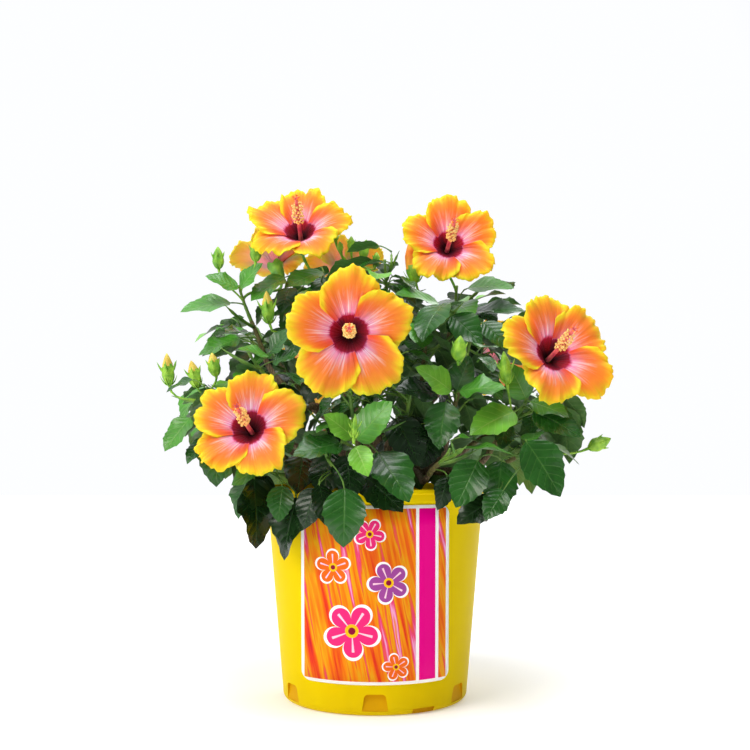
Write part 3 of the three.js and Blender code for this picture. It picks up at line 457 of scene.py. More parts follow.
def addBloomStalk(flower):
    facing = unit(arr(*flower["facing"]))
    right = unit(arr(-facing[1], facing[0], 0))
    base = arr(*flower["eye"]) - facing * petalRise(0.3) * flower["radius"]
    foot = base + facing * (bloom["calyxSunk"] - bloom["calyx"])
    curve = stalkCurve(flower["shoot"], flower["at"], foot, facing)
    flower.update(facing=facing, right=right, up=np.cross(facing, right), base=base, foot=foot, stalk=curve)
    flower["samples"] = evenPoints(curve, 40)
    takeLimb(curve, lambda t: bloom["stalkRadius"], wood, 0.15)
    takeLimb(straight(foot, base), lambda t: bloom["calyxRadius"], wood)


def addBudStalk(bud):
    bud["lean"] = unit(arr(*bud["lean"]))
    bud["foot"] = arr(*bud["tip"]) - bud["lean"] * bud["length"]
    bud["stalk"] = stalkCurve(bud["shoot"], bud["at"], bud["foot"], bud["lean"])


def inBloom(points):
    hit = np.zeros(len(points), dtype=bool)
    for flower in blooms:
        off = points - flower["base"]
        along = off @ flower["facing"]
        out = np.linalg.norm(off - along[:, None] * flower["facing"], axis=1) / flower["radius"]
        surface = petalRise(out) * flower["radius"]
        clear = surface + mix(*bloom["clearBefore"], np.minimum(1, out))
        hit |= (out <= bloom["clearRound"]) & (along > surface - bloom["clearBehind"]) & (along < clear)
    return hit


def nearStalk(points):
    samples = np.concatenate([flower["samples"] for flower in blooms])
    away = np.linalg.norm(samples[None] - points[:, None], axis=2)
    return bool((away < bloom["stalkRoom"]).any())


def inPot(points):
    z = points[:, 2]
    flat = np.hypot(points[:, 0], points[:, 1])
    above = z < pot["height"] + pot["clearAbove"]
    return (z < pot["clearAbove"]) | (above & (flat < wallRadius(z) + pot["clearBeside"]))


def outside(points):
    x, y, z = points.T
    out = (z > crown["top"]) | (y < -crown["front"]) | (y > np.interp(z, *crown["back"]))
    return out | (x < -np.interp(z, *crown["left"])) | (x > np.interp(z, *crown["right"]))


def isBarred(points):
    return inPot(points).any() or outside(points).any() or inBloom(points).any()


def inOwnSpace(number, points):
    # a mass keeps to the points that lie nearer to its own stem than to another's, or nearly so
    off = points[:, None] - stemFeet[None]
    t = np.clip((off * stemLines[None]).sum(axis=2) / (stemLines ** 2).sum(axis=1), 0, 1)
    far = np.linalg.norm(off - t[..., None] * stemLines[None], axis=2)
    ahead = far > far[:, number:number + 1] - leaf["giveWay"]
    ahead[:, number] = True
    return ahead.all()


def bladeWidth(t):
    # half the blade's width at a share t of its length, as a share of the widest
    return np.maximum(0, np.sin(np.pi * np.minimum(1, t) ** 0.72)) ** 0.8


sampleGrid = np.meshgrid(np.arange(27) / 26, np.arange(-9, 10) / 9, indexing="ij")
sampleAlong, sampleAcross = [places.ravel() for places in sampleGrid]
sampleWidth = bladeWidth(sampleAlong)


def bladeSamples(blade, step=1):
    t, v, width = sampleAlong[::step, None], sampleAcross[::step, None], sampleWidth[::step, None]
    half = blade["length"] * leaf["slender"] * width / 2
    lift = leaf["fold"] * np.abs(v) * half - blade["curl"] * blade["length"] * t * t
    spine = blade["neck"] + blade["along"] * blade["length"] * t
    return spine + blade["side"] * v * half + blade["normal"] * lift


def leafAt(
    shoot, number, curve, t, azimuth, age, rnd,
    size=1.0, tries=leaf["tries"], touching=0.0, crowd=near, step=1,
):
    # one leaf at a place on a stem; age runs from 0 at the growing tip to 1 on old wood
    owner = number + 1
    draw = [rnd(), rnd(), rnd(), rnd()]
    root = curvePoint(curve, t)
    outward = math.degrees(math.atan2(root[1], root[0]))
    away = (math.hypot(root[0], root[1]) - leaf["spreadFrom"]) / leaf["spreadRun"]
    spread = mix(*leaf["spread"], min(1, max(0, away)))
    for attempt in range(tries):
        turn = leaf["tryTurn"] * math.ceil(attempt / 2) * (1 if attempt % 2 else -1)
        drop = leaf["tryDrops"][attempt % len(leaf["tryDrops"])]
        swing = azimuth + turn + leaf["swing"] * (draw[0] - 0.5) - outward
        angle = math.radians(outward + spread * (swing - 360 * jsRound(swing / 360)))
        heading = arr(math.cos(angle), math.sin(angle), 0)
        length = shoot["leaf"] * mix(leaf["youngest"], 1, min(1, age * 2)) * mix(*leaf["sizes"], draw[1])
        length = length * leaf["tryShrink"] ** attempt * size
        stalkRise = math.radians(mix(*leaf["stalkRise"], age) - shoot["droop"] * leaf["stalkDroop"])
        stalk = length * mix(*leaf["stalk"], draw[2]) * leaf["tryStalks"][attempt % len(leaf["tryStalks"])]
        neck = root + heading * stalk * math.cos(stalkRise) + up * stalk * math.sin(stalkRise)
        pitch = mix(*leaf["pitch"], age) - shoot["droop"] * mix(*leaf["droop"], age)
        pitch = math.radians(pitch + leaf["nod"] * (draw[3] - 0.5) - drop)
        along = heading * math.cos(pitch) + up * math.sin(pitch)
        flat = arr(-heading[1], heading[0], 0)
        roll = math.radians(leaf["roll"] * (draw[2] - 0.5))
        normal = -np.cross(flat, along) * math.cos(roll) + flat * math.sin(roll)
        blade = {
            "root": root, "neck": neck, "along": along, "side": np.cross(normal, along), "normal": normal,
            "length": length, "age": age, "curl": mix(*leaf["curl"], draw[0]), "draw": draw,
            "way": curveWay(curve, t),
        }
        samples = bladeSamples(blade, step)
        if inPot(samples).any() or outside(samples).any() or not isFree(samples, owner, touching, crowd):
            continue
        if inBloom(samples).any() or not inOwnSpace(number, samples):
            continue
        shares = np.arange(9, max(stalk, 9), 2)[:, None] / stalk
        petiole = root + (neck - root) * shares
        if len(petiole) and not isFree(petiole, owner, touching, crowd):
            continue
        if nearStalk(root + (neck - root) * arr(3, 5, 7, 9)[:, None] / stalk):
            continue
        take(samples, owner)
        if len(petiole):
            take(petiole, owner)
        return blade
    return None


def growFoliage(shoot, number):
    # the stem's twigs come first, then its own leaves, then those of the twigs
    rnd = seeded(7919 * (number + 1))
    owner = number + 1
    stem = limbs[shoot["name"] + " stem"][0]
    twigs, blades = [], []
    for k in range(shoot["twigs"]):
        start = curvePoint(stem, mix(*twigRule["along"], k / (shoot["twigs"] - 1)))
        outward = math.degrees(math.atan2(start[1], start[0]))
        turn = twigRule["turns"][k % len(twigRule["turns"])]
        angle = math.radians(outward + turn + twigRule["swing"] * (rnd() - 0.5))
        way = unit(arr(math.cos(angle), math.sin(angle), mix(*twigRule["rise"], rnd())))
        end = start + way * mix(*twigRule["reach"], rnd())
        curve = raised(start, mix(start, end, 0.5) - up * twigRule["sag"], end)
        points = curvePoint(curve, arr(0.35, 0.5, 0.65, 0.8, 1))
        if isBarred(points) or not isFree(points, owner) or not inOwnSpace(number, points):
            continue
        if nearStalk(curvePoint(curve, arr(0.1, 0.2, 0.3))):
            continue
        twigs.append((curve, between(*twigRule["radius"]), k))
        takeLimb(curve, twigs[-1][1], owner, 0.3)
    for i in range(shoot["leaves"]):
        high = 1 - i / (shoot["leaves"] - 1)
        azimuth = shoot["turn"] + goldenTurn * i
        blades.append(leafAt(shoot, number, stem, mix(0.06, 1, high), azimuth, 1 - high, rnd))
    first, older = twigRule["leafAge"]
    for curve, radiusAt, k in twigs:
        for i in range(twigRule["leaves"]):
            azimuth = shoot["turn"] + twigRule["leafTurn"] * k + goldenTurn * i
            at = 1 - twigRule["leafStep"] * i
            blades.append(leafAt(shoot, number, curve, at, azimuth, first + older * i, rnd))
    return twigs, [blade for blade in blades if blade]


# what this script adds to the rule: side shoots off every stem and twig, with smaller leaves in the gaps
finer = {
    "stemShoots": 7, "stemFrom": 0.04, "twigShoots": 4, "twigFrom": 0.25,
    "swing": 60, "rise": (-0.3, 1.1), "reach": (16, 38), "bend": (-4, 3), "radius": (1.3, 0.8),
    "leaves": 3, "leafStep": 0.28, "leafAge": (0.3, 0.25), "size": (0.5, 0.86),
    "tries": 10, "touching": 0.04, "step": 3,
    # share of the side shoots in masses that let the sky through
    "thin": {
        "left_high": 0.15, "left_mid": 0.35, "left_outer": 0.2, "top_left": 0.4, "top_mid": 0.4,
        "top_right": 0.35, "right_high": 0.5, "back_left": 0.5, "back_right": 0.4, "right_back": 0.5,
        "left_back": 0.5, "top_front": 0.6, "inner_right": 0.7,
    },
}


# broad leaves, set one by one, that the grown leaves give way to: shoot, how far along its stem,
# neck and tip of the blade, way that it looks, and tone from 0 for old to 3 for young; some leaves that lie
# in shade have a paler tone than their age gives, as painted light
broadLeaves = [
    ("left_high", 0.72, (-150, -18, 405), (-199, -34, 400), (0.05, -0.5, 0.86), 2),
    ("left_high", 0.2, (-140, -20, 368), (-180, -36, 353), (-0.2, -0.55, 0.8), 2),
    ("left_high", 0.97, (-142, -20, 420), (-172, -34, 433), (0.3, -0.65, 0.7), 2),
    ("left_high", 0.93, (-140, -20, 420), (-120, -30, 446), (-0.45, -0.7, 0.5), 2),
    # these two lie in the shade of the top left bloom and take a paler tone: painted light
    ("top_left", 0.95, (-95, -10, 433), (-129, -28, 411), (-0.1, -0.6, 0.8), 2),
    ("top_left", 0.8, (-56, 0, 441), (-93, -22, 424), (-0.1, -0.6, 0.8), 2),
    ("left_mid", 0.75, (-105, -74, 345), (-131, -92, 353), (0, -0.5, 0.86), 2),
    ("left_mid", 0.75, (-103, -74, 349), (-84, -84, 372), (-0.6, -0.7, 0.3), 1),
    ("left_mid", 0.65, (-101, -74, 340), (-78, -88, 348), (0.1, -0.75, 0.65), 1),
    ("inner_right", 0.95, (64, -52, 400), (23, -72, 414), (0, -0.5, 0.86), 2),
    ("top_right", 0.6, (98, -2, 423), (142, -22, 426), (0, -0.55, 0.83), 2),
    ("top_right", 0.4, (101, -4, 397), (152, -30, 402), (0, -0.45, 0.9), 1),
    ("right_mid", 0.95, (76, -76, 385), (104, -92, 359), (-0.1, -0.85, 0.5), 1),
    ("right_mid", 0.9, (107, -70, 379), (132, -84, 354), (0.2, -0.8, 0.55), 1),
    # the palest tone here paints light on a leaf that lies in shade
    ("right_mid", 0.4, (74, -88, 310), (43, -104, 334), (0.15, -0.8, 0.6), 3),
    ("right_mid", 0.45, (81, -70, 311), (92, -80, 344), (-0.2, -0.9, 0.35), 1),
    ("right_mid", 0.35, (82, -92, 310), (122, -112, 316), (0, -0.6, 0.8), 2),
    ("centre_right", 0.95, (60, -92, 307), (22, -112, 314), (0.1, -0.7, 0.7), 0),
    # the palest tone here paints light on a leaf that lies in shade
    ("right_high", 0.9, (136, -84, 290), (91, -106, 274), (-0.1, -0.75, 0.65), 3),
    ("right_high", 0.95, (152, -76, 300), (187, -94, 289), (0, -0.6, 0.8), 2),
    ("right_high", 0.85, (155, -80, 291), (196, -102, 270), (0.1, -0.8, 0.6), 1),
    ("right_mid", 0.25, (68, -94, 299), (60, -110, 256), (-0.2, -0.95, 0.25), 1),
    ("centre", 0.6, (-17, -128, 262), (12, -144, 297), (-0.3, -0.88, 0.4), 2),
    ("centre", 0.6, (-21, -121, 265), (-44, -135, 287), (0.35, -0.85, 0.4), 3),
    ("centre", 0.4, (-32, -122, 259), (-74, -146, 253), (0, -0.6, 0.8), 1),
    ("centre", 0.5, (-18, -138, 256), (-6, -152, 231), (-0.25, -0.8, 0.55), 3),
    ("centre", 0.3, (2, -122, 251), (32, -152, 211), (0.25, -0.8, 0.55), 1),
    ("front_low", 0.5, (-13, -108, 231), (27, -128, 200), (0.1, -0.85, 0.5), 0),
    ("front_low", 0.9, (-28, -142, 218), (-28, -156, 167), (0.05, -1, 0.12), 1),
    ("front_left", 0.9, (-88, -104, 219), (-92, -116, 187), (0, -0.95, 0.3), 1),
    ("front_left", 0.7, (-75, -98, 208), (-90, -108, 151), (-0.75, -0.65, 0.1), 0),
    ("front_left", 1, (-117, -90, 226), (-108, -100, 161), (0.75, -0.65, 0.1), 0),
    ("front_left", 1, (-125, -80, 225), (-136, -90, 189), (-0.7, -0.7, 0.1), 1),
    ("right_low", 0.3, (96, -122, 243), (76, -140, 202), (-0.1, -0.95, 0.3), 1),
    ("right_low", 0.6, (121, -98, 242), (115, -114, 196), (0.2, -0.95, 0.2), 1),
    ("front_left", 0.1, (-70, -82, 251), (-74, -100, 213), (-0.2, -0.9, 0.4), 0),
    ("front_low", 0.1, (-43, -96, 251), (-49, -116, 210), (-0.1, -0.9, 0.4), 0),
    ("centre", 0.05, (-27, -118, 248), (-21, -136, 207), (0.2, -0.9, 0.4), 0),
    ("front_low", 0.2, (-55, -120, 217), (-69, -128, 182), (-0.35, -0.9, 0.1), 0),
    ("front_low", 0.3, (-52, -130, 221), (-43, -138, 186), (0.6, -0.8, 0.1), 0),
    ("front_left", 0.6, (-101, -92, 240), (-137, -106, 224), (-0.1, -0.6, 0.8), 2),
    ("front_left", 0.75, (-108, -66, 229), (-115, -74, 193), (0.5, -0.8, 0.2), 0),
    ("front_right", 0.2, (68, -120, 227), (60, -128, 198), (0.5, -0.8, 0.2), 0),
    ("right_low", 0.2, (111, -118, 208), (77, -130, 186), (-0.1, -0.8, 0.6), 0),
    ("right_low", 0.7, (119, -132, 216), (102, -142, 190), (0.1, -0.8, 0.6), 1),
    ("centre_right", 0.5, (20, -84, 284), (43, -104, 241), (0.1, -0.9, 0.4), 0),
    ("centre_right", 0.3, (56, -78, 274), (47, -92, 236), (0.2, -0.9, 0.3), 0),
    ("left_outer", 0.55, (-187, -42, 285), (-211, -56, 254), (-0.35, -0.7, 0.6), 2),
    ("left_outer", 0.3, (-172, -40, 263), (-191, -50, 242), (-0.2, -0.6, 0.75), 1),
    ("right_high", 0.6, (150, -64, 303), (133, -72, 337), (-0.2, -0.9, 0.4), 2),
    ("left_mid", 0.2, (-55, -40, 325), (-74, -50, 299), (-0.1, -0.8, 0.55), 0),
    ("right_low", 0.8, (143, -112, 261), (176, -122, 212), (0.15, -0.9, 0.4), 1),
    # low ones at the back close the view over the far rim
    ("left_back", 0.02, (-76, 60, 246), (-48, 80, 213), (0, 0.55, 0.8), 0),
    ("left_back", 0.06, (-105, 62, 246), (-110, 88, 206), (0, 0.55, 0.8), 0),
    ("back_low", 0.02, (-4, 92, 240), (-36, 88, 214), (0, 0.55, 0.8), 0),
    ("back_low", 0.06, (8, 92, 240), (37, 87, 213), (0, 0.55, 0.8), 0),
    ("back_low", 0.04, (35, 58, 248), (50, 78, 210), (0, 0.55, 0.8), 0),
    ("back_low", 0.08, (68, 58, 248), (75, 78, 210), (0, 0.55, 0.8), 0),
    ("right_back", 0.02, (88, 66, 250), (58, 88, 220), (0, 0.55, 0.8), 0),
    ("right_back", 0.06, (106, 60, 248), (98, 88, 208), (0, 0.55, 0.8), 0),
]
# where the sky shows through from the label's side: x, z and radius on a wall 400 behind the plant
skyWindows = [
    (-270, 438, 20), (-240, 439, 17), (-216, 439, 10), (-262, 399, 14), (-241, 374, 13), (-211, 375, 10),
    (-295, 310, 16), (278, 268, 13), (281, 223, 17), (19, 528, 13), (-283, 492, 14), (221, 499, 17),
    (203, 472, 10), (175, 432, 10), (-289, 412, 8),
]
# small buds among the finer twigs, as those of the rule
smallBuds = tableOf(budKeys, [
    ("top_mid", 0.8, (-37, -10, 471), (-0.1, 0, 1), 10, 3.4, "closed"),
    ("top_mid", 0.9, (-25, -8, 477), (0, 0, 1), 15, 4.2, "closed"),
    ("top_mid", 0.95, (2, -8, 460), (0.1, 0, 1), 14, 4, "closed"),
    ("centre", 0.62, (-18, -150, 286), (0.05, 0, 1), 22, 2.6, "closed"),
])


def setBroadLeaf(shoot, at, neck, tip, looks, tone, rnd):
    neck, tip = arr(*neck), arr(*tip)
    curve = limbs[shoot + " stem"][0]
    along = unit(tip - neck)
    side = unit(np.cross(arr(*looks), along))
    draw = [rnd(), rnd(), rnd(), rnd()]
    return {
        "root": curvePoint(curve, at), "neck": neck, "along": along, "side": side,
        "normal": np.cross(along, side), "length": 1.08 * np.linalg.norm(tip - neck), "age": 0.5,
        "curl": mix(0, 0.06, draw[0]), "draw": draw, "way": curveWay(curve, at), "tone": tone,
    }


def growFiner(shoot, number, twigs):
    rnd = seeded(104729 * (number + 1))
    owner = number + 1
    stem = limbs[shoot["name"] + " stem"][0]
    share = finer["thin"].get(shoot["name"], 1)
    stemShoots, twigShoots = round(finer["stemShoots"] * share), round(finer["twigShoots"] * share)
    carriers = [(stem, stemShoots, finer["stemFrom"])]
    carriers += [(curve, twigShoots, finer["twigFrom"]) for curve, radiusAt, k in twigs]
    youngest, older = finer["leafAge"]
    shootlets, blades = [], []
    for carrier, count, first in carriers:
        for k in range(count):
            start = curvePoint(carrier, mix(first, 1, (k + rnd()) / count))
            outward = math.degrees(math.atan2(start[1], start[0]))
            angle = math.radians(outward + goldenTurn * k + finer["swing"] * (rnd() - 0.5))
            way = unit(arr(math.cos(angle), math.sin(angle), mix(*finer["rise"], rnd())))
            end = start + way * mix(*finer["reach"], rnd())
            bend = up * mix(*finer["bend"], rnd())
            curve = raised(start, mix(start, end, 0.5) + bend, end)
            points = curvePoint(curve, arr(0.4, 0.6, 0.8, 1))
            if isBarred(points) or not isFree(points, owner, 0.5, held) or nearStalk(points):
                continue
            found = []
            for i in range(finer["leaves"]):
                size = mix(*finer["size"], rnd())
                azimuth = math.degrees(angle) + goldenTurn * i
                found.append(leafAt(
                    shoot, number, curve, 1 - finer["leafStep"] * i, azimuth, youngest + older * i, rnd,
                    size, finer["tries"], finer["touching"], held, finer["step"],
                ))
            found = [blade for blade in found if blade and not hides(blade)]
            if found:
                shootlets.append((curve, between(*finer["radius"]), k))
                blades += found
    return shootlets, blades


# places that stay clear, seen from the label's side: radius as a share of the bloom's reach or of the
# broad leaf's length, and the share of a grown leaf that may cross it
clearing = {
    "bloom": (0.9, 0.02),
    "broad": (0.34, 0.08),
    "sky": 0.16,
    "wallAt": 400,  # how far behind the plant the sky windows are measured
    "curl": 0.1,  # how much further than drawn a broad leaf may curl within its room
    "through": 60,  # samples of a leaf that may stand in a broad leaf's room
}
clearPlaces = []
broadRoom = np.zeros(len(held), dtype=bool)


def keepClear():
    reach, share = clearing["bloom"]
    for flower in blooms:
        if flower["facing"][1] < -0.5:
            clearPlaces.append((arr(*flower["eye"]), reach * flower["radius"], share))
    reach, share = clearing["broad"]
    for shoot in shoots:
        for blade in shoot["broad"]:
            middle = blade["neck"] + 0.5 * blade["length"] * blade["along"]
            clearPlaces.append((middle, reach * blade["length"], share))
            cells = cellOf(bladeSamples(dict(blade, curl=blade["curl"] + clearing["curl"])))
            broadRoom[(cells[:, None] + aroundCells).ravel()] = True
    for x, z, radius in skyWindows:
        clearPlaces.append((arr(x, clearing["wallAt"], z), radius, clearing["sky"]))


def pierces(points, most=0):
    return np.count_nonzero(broadRoom[cellOf(points)]) > most


def hides(blade):
    # whether a grown leaf crosses a clear place, or it or its stalk runs through a broad leaf
    stalk = blade["root"] + (blade["neck"] - blade["root"]) * np.linspace(0.2, 1, 12)[:, None]
    if pierces(bladeSamples(blade), clearing["through"]) or pierces(stalk):
        return True
    eye = arr(*stage["cameraAt"])
    samples = bladeSamples(blade, 3) - eye
    for place, radius, share in clearPlaces:
        middle = place - eye
        seen = samples * (middle[1] / samples[:, 1])[:, None]
        over = (np.linalg.norm(seen - middle, axis=1) < radius) & (samples[:, 1] < middle[1])
        if np.count_nonzero(over) > share * len(samples):
            return True
    return False


addTrunk()
for shoot in shoots:
    addBough(shoot)
stemFeet = np.array([limbs[shoot["name"] + " stem"][0][0] for shoot in shoots])
stemLines = np.array([limbs[shoot["name"] + " stem"][0][3] for shoot in shoots]) - stemFeet
takeLimb(*limbs["trunk"], wood)
for number, shoot in enumerate(shoots):
    takeLimb(*limbs[shoot["name"]], wood, 0.1)
    takeLimb(*limbs[shoot["name"] + " stem"], number + 1)
for flower in blooms:
    addBloomStalk(flower)
for bud in buds:
    addBudStalk(bud)
    owner = [shoot["name"] for shoot in shoots].index(bud["shoot"]) + 1
    takeLimb(bud["stalk"], lambda t: budStalkRadius, owner, 0.15)
    takeLimb(straight(bud["foot"], arr(*bud["tip"])), lambda t: bud["radius"], owner)
for number, shoot in enumerate(shoots):
    shoot["grown"], shoot["blades"] = growFoliage(shoot, number)
print("grown by the rule:", sum(len(shoot["blades"]) for shoot in shoots), "leaves")
for number, shoot in enumerate(shoots):
    rnd = seeded(5003 * (number + 1))
    shoot["broad"] = [setBroadLeaf(*broad, rnd) for broad in broadLeaves if broad[0] == shoot["name"]]
keepClear()
for number, shoot in enumerate(shoots):
    shootlets, blades = growFiner(shoot, number, shoot["grown"])
    shoot["grown"] += shootlets
    shoot["blades"] += blades
twigShares = np.linspace(0.2, 1, 25)
for shoot in shoots:
    shoot["blades"] = [blade for blade in shoot["blades"] if not hides(blade)] + shoot["broad"]
    shoot["grown"] = [twig for twig in shoot["grown"] if not pierces(curvePoint(twig[0], twigShares))]
for bud in smallBuds:
    addBudStalk(bud)
    addBudStalk(bud)
buds += smallBuds
print("with the finer growth and the plucking:", sum(len(shoot["blades"]) for shoot in shoots), "leaves")


# Shapes made of many small like pieces are piled up as arrays and made one mesh


def newPile():
    return {"points": [], "faces": [], "slots": [], "count": 0}


def pileUp(pile, points, faces, slots=0):
    # slots is one number for the whole shape, or a list with one for each face
    start = pile["count"]
    pile["points"].append(points)
    pile["faces"] += [tuple(start + i for i in face) for face in faces]
    pile["slots"] += slots if isinstance(slots, list) else [slots] * len(faces)
    pile["count"] += len(points)


def meshFromPile(pile, name, materials):
    mesh = bpy.data.meshes.new(name)
    mesh.from_pydata((np.concatenate(pile["points"]) * mm).tolist(), [], pile["faces"])
    for material in materials:
        mesh.materials.append(material)
    mesh.polygons.foreach_set("material_index", pile["slots"])
    mesh.shade_smooth()
    return mesh


def ringFaces(rings, sides):
    # four-cornered faces from each ring of points to the next
    faces = []
    for r in range(rings - 1):
        for k in range(sides):
            a, b = r * sides + k, r * sides + (k + 1) % sides
            faces.append((a, b, b + sides, a + sides))
    return faces


def tube(points, radii, sides):
    # a skin round a path; radii holds one number for each ring, or one for each of its points
    ways = np.gradient(points, axis=0)
    ways /= np.linalg.norm(ways, axis=1)[:, None]
    side = unit(np.cross(ways[0], arr(0.31, 0.87, 0.38)))
    angles = np.arange(sides) * 2 * math.pi / sides
    rings = []
    for point, way, radius in zip(points, ways, radii):
        side = unit(side - way * (side @ way))
        third = np.cross(way, side)
        radius = np.broadcast_to(radius, sides)[:, None]
        rings.append(point + radius * (np.cos(angles)[:, None] * side + np.sin(angles)[:, None] * third))
    faces = ringFaces(len(points), sides)
    last = (len(points) - 1) * sides
    faces.append(tuple(range(sides - 1, -1, -1)))
    faces.append(tuple(last + k for k in range(sides)))
    return np.concatenate(rings), faces


# Finishes


def mouldedPolypropylene(name, light, dark):
    # injection-moulded polypropylene: a soft sheen, faint flow marks and a fine orange-peel skin
    material, tree = startMaterial(name, {
        "IOR": 1.49, "Specular IOR Level": 0.02, "Subsurface Weight": 0.1, "Subsurface Scale": 0.004,
        "Subsurface Radius": (1.0, 0.7, 0.1),
    })
    place = add(tree, "TexCoord", out="Object")
    # flow marks about 45 mm apart and 200 mm long
    drawn = add(tree, "Mapping", {"Vector": place, "Scale": (22, 22, 5)})
    flow = add(tree, "TexNoise", {"Vector": drawn, "Scale": 1.0, "Detail": 3.0})
    tone = add(tree, "ValToRGB", {0: flow}, [(0.3, dark), (0.7, light)])
    # dust and scuffs of about 6 mm gather low on the wall, within 25 mm of the ground
    height = add(tree, "SeparateXYZ", {0: place}, out=2)
    low = add(tree, "MapRange", {0: height, 1: 0.0, 2: 0.025, 3: 1.0, 4: 0.0})
    scuff = add(tree, "TexNoise", {"Vector": place, "Scale": 160.0, "Detail": 4.0})
    dust = add(tree, "Math", {0: low, 1: scuff}, operation="MULTIPLY")
    dusty = add(tree, "Math", {0: dust, 1: 0.22}, operation="MULTIPLY")
    colour = add(tree, "Mix", {0: dusty, 6: tone, 7: "#b8962a"}, out=2, data_type="RGBA")
    gloss = add(tree, "MapRange", {0: flow, 1: 0.2, 2: 0.8, 3: 0.34, 4: 0.44})
    # the skin's peel is about 0.4 mm; drawn at 1.2 mm so that it shows
    peel = add(tree, "TexNoise", {"Vector": place, "Scale": 850.0, "Detail": 1.0})
    bump = add(tree, "Bump", {"Height": peel, "Strength": 0.12, "Distance": 0.0002})
    return fed(material, {"Base Color": colour, "Roughness": gloss, "Normal": bump})


labelLook = {
    # middle of each flower in millimetres from the label's middle, reach, turn and petal colour
    "flowers": [
        ((-22, -34), 27, 0.25, "#ee2f7b"), ((-40, 26), 17, 0.9, "#f26a1b"), ((13, 12), 20, 0.55, "#a24a9c"),
        ((-5, 58), 15, 0.2, "#ee2f7b"), ((20, -68), 13, 0.7, "#f26a1b"),
    ],
    "streaks": [
        (0.28, "#c42030"), (0.36, "#e03a1e"), (0.43, "#ea6a14"), (0.49, "#f08c12"), (0.53, "#e8a81a"),
        (0.57, "#e9641c"), (0.62, "#e83a78"), (0.67, "#f0a8d4"), (0.73, "#ee7a18"),
    ],
    "band": "#ec008c",
    "bandAt": (42, 58),  # from and to, across the label
    "border": 3.0,
}


def printedFilm():
    # a printed film label: satin ink, painted warm streaks, loose five-petalled flowers and one plain band
    material, tree = startMaterial("printedFilm", {
        "Roughness": 0.32, "IOR": 1.5, "Specular IOR Level": 0.05,
    })
    place = add(tree, "UVMap", uv_map="label")
    across, rising = add(tree, "SeparateXYZ", {0: place}).node.outputs[:2]
    # brush streaks lean by a fifth and are 4 to 9 mm wide
    slant = add(tree, "Math", {0: rising, 1: 0.2}, operation="MULTIPLY")
    lean = add(tree, "Math", {0: across, 1: slant}, operation="ADD")
    narrow = add(tree, "Math", {0: lean, 1: 0.11}, operation="MULTIPLY")
    drawn = add(tree, "Math", {0: rising, 1: 0.007}, operation="MULTIPLY")
    brushed = add(tree, "CombineXYZ", {0: narrow, 1: drawn})
    streak = add(tree, "TexNoise", {"Vector": brushed, "Scale": 1.0, "Detail": 4.0})
    colour = add(tree, "ValToRGB", {0: streak}, labelLook["streaks"])
    for (x, y), reach, turn, petal in labelLook["flowers"]:
        dx = add(tree, "Math", {0: across, 1: x}, operation="SUBTRACT")
        dy = add(tree, "Math", {0: rising, 1: y}, operation="SUBTRACT")
        flat, tall = [add(tree, "Math", {0: d, 1: d}, operation="MULTIPLY") for d in (dx, dy)]
        squares = add(tree, "Math", {0: flat, 1: tall}, operation="ADD")
        far = add(tree, "Math", {0: squares}, operation="SQRT")
        heading = add(tree, "Math", {0: dy, 1: dx}, operation="ARCTAN2")
        angle = add(tree, "Math", {0: heading, 1: turn}, operation="ADD")
        # five lobes: half of five waves round the middle, with a ray between each two
        wave = add(tree, "Math", {0: angle, 1: 2.5}, operation="MULTIPLY")
        swell = add(tree, "Math", {0: wave}, operation="COSINE")
        lobe = add(tree, "Math", {0: swell}, operation="ABSOLUTE")
        blunt = add(tree, "Math", {0: lobe, 1: 0.55}, operation="POWER")
        grown = add(tree, "Math", {0: blunt, 1: reach * 0.52}, operation="MULTIPLY")
        edge = add(tree, "Math", {0: grown, 1: reach * 0.42}, operation="ADD")
        share = add(tree, "Math", {0: far, 1: edge}, operation="DIVIDE")
        for limit, tint in ((1.12, "#ffffff"), (1.0, petal)):
            mask = add(tree, "Math", {0: share, 1: limit}, operation="LESS_THAN")
            colour = add(tree, "Mix", {0: mask, 6: colour, 7: tint}, out=2, data_type="RGBA")
        turned = add(tree, "Math", {0: wave}, operation="SINE")
        crossed = add(tree, "Math", {0: turned}, operation="ABSOLUTE")
        ray = add(tree, "Math", {0: crossed, 1: 0.16}, operation="LESS_THAN")
        within = add(tree, "Math", {0: share, 1: 0.8}, operation="LESS_THAN")
        mask = add(tree, "Math", {0: ray, 1: within}, operation="MULTIPLY")
        colour = add(tree, "Mix", {0: mask, 6: colour, 7: "#fbd0e4"}, out=2, data_type="RGBA")
        for limit, tint in ((0.24, "#fbc21a"), (0.13, "#8c1536")):
            mask = add(tree, "Math", {0: far, 1: reach * limit}, operation="LESS_THAN")
            colour = add(tree, "Mix", {0: mask, 6: colour, 7: tint}, out=2, data_type="RGBA")
    # the upright band, with a white line on both sides of it
    left, right = labelLook["bandAt"]
    for line, tint in ((3, "#ffffff"), (0, labelLook["band"])):
        beyond = add(tree, "Math", {0: across, 1: left - line}, operation="GREATER_THAN")
        before = add(tree, "Math", {0: across, 1: right + line}, operation="LESS_THAN")
        mask = add(tree, "Math", {0: beyond, 1: before}, operation="MULTIPLY")
        colour = add(tree, "Mix", {0: mask, 6: colour, 7: tint}, out=2, data_type="RGBA")
    # a white border all round
    rims = []
    for way, half in ((across, label["width"] / 2), (rising, (label["top"] - label["bottom"]) / 2)):
        away = add(tree, "Math", {0: way}, operation="ABSOLUTE")
        rims.append(add(tree, "Math", {0: away, 1: half - labelLook["border"]}, operation="GREATER_THAN"))
    mask = add(tree, "Math", {0: rims[0], 1: rims[1]}, operation="MAXIMUM")
    colour = add(tree, "Mix", {0: mask, 6: colour, 7: "#ffffff"}, out=2, data_type="RGBA")
    return fed(material, {"Base Color": colour})


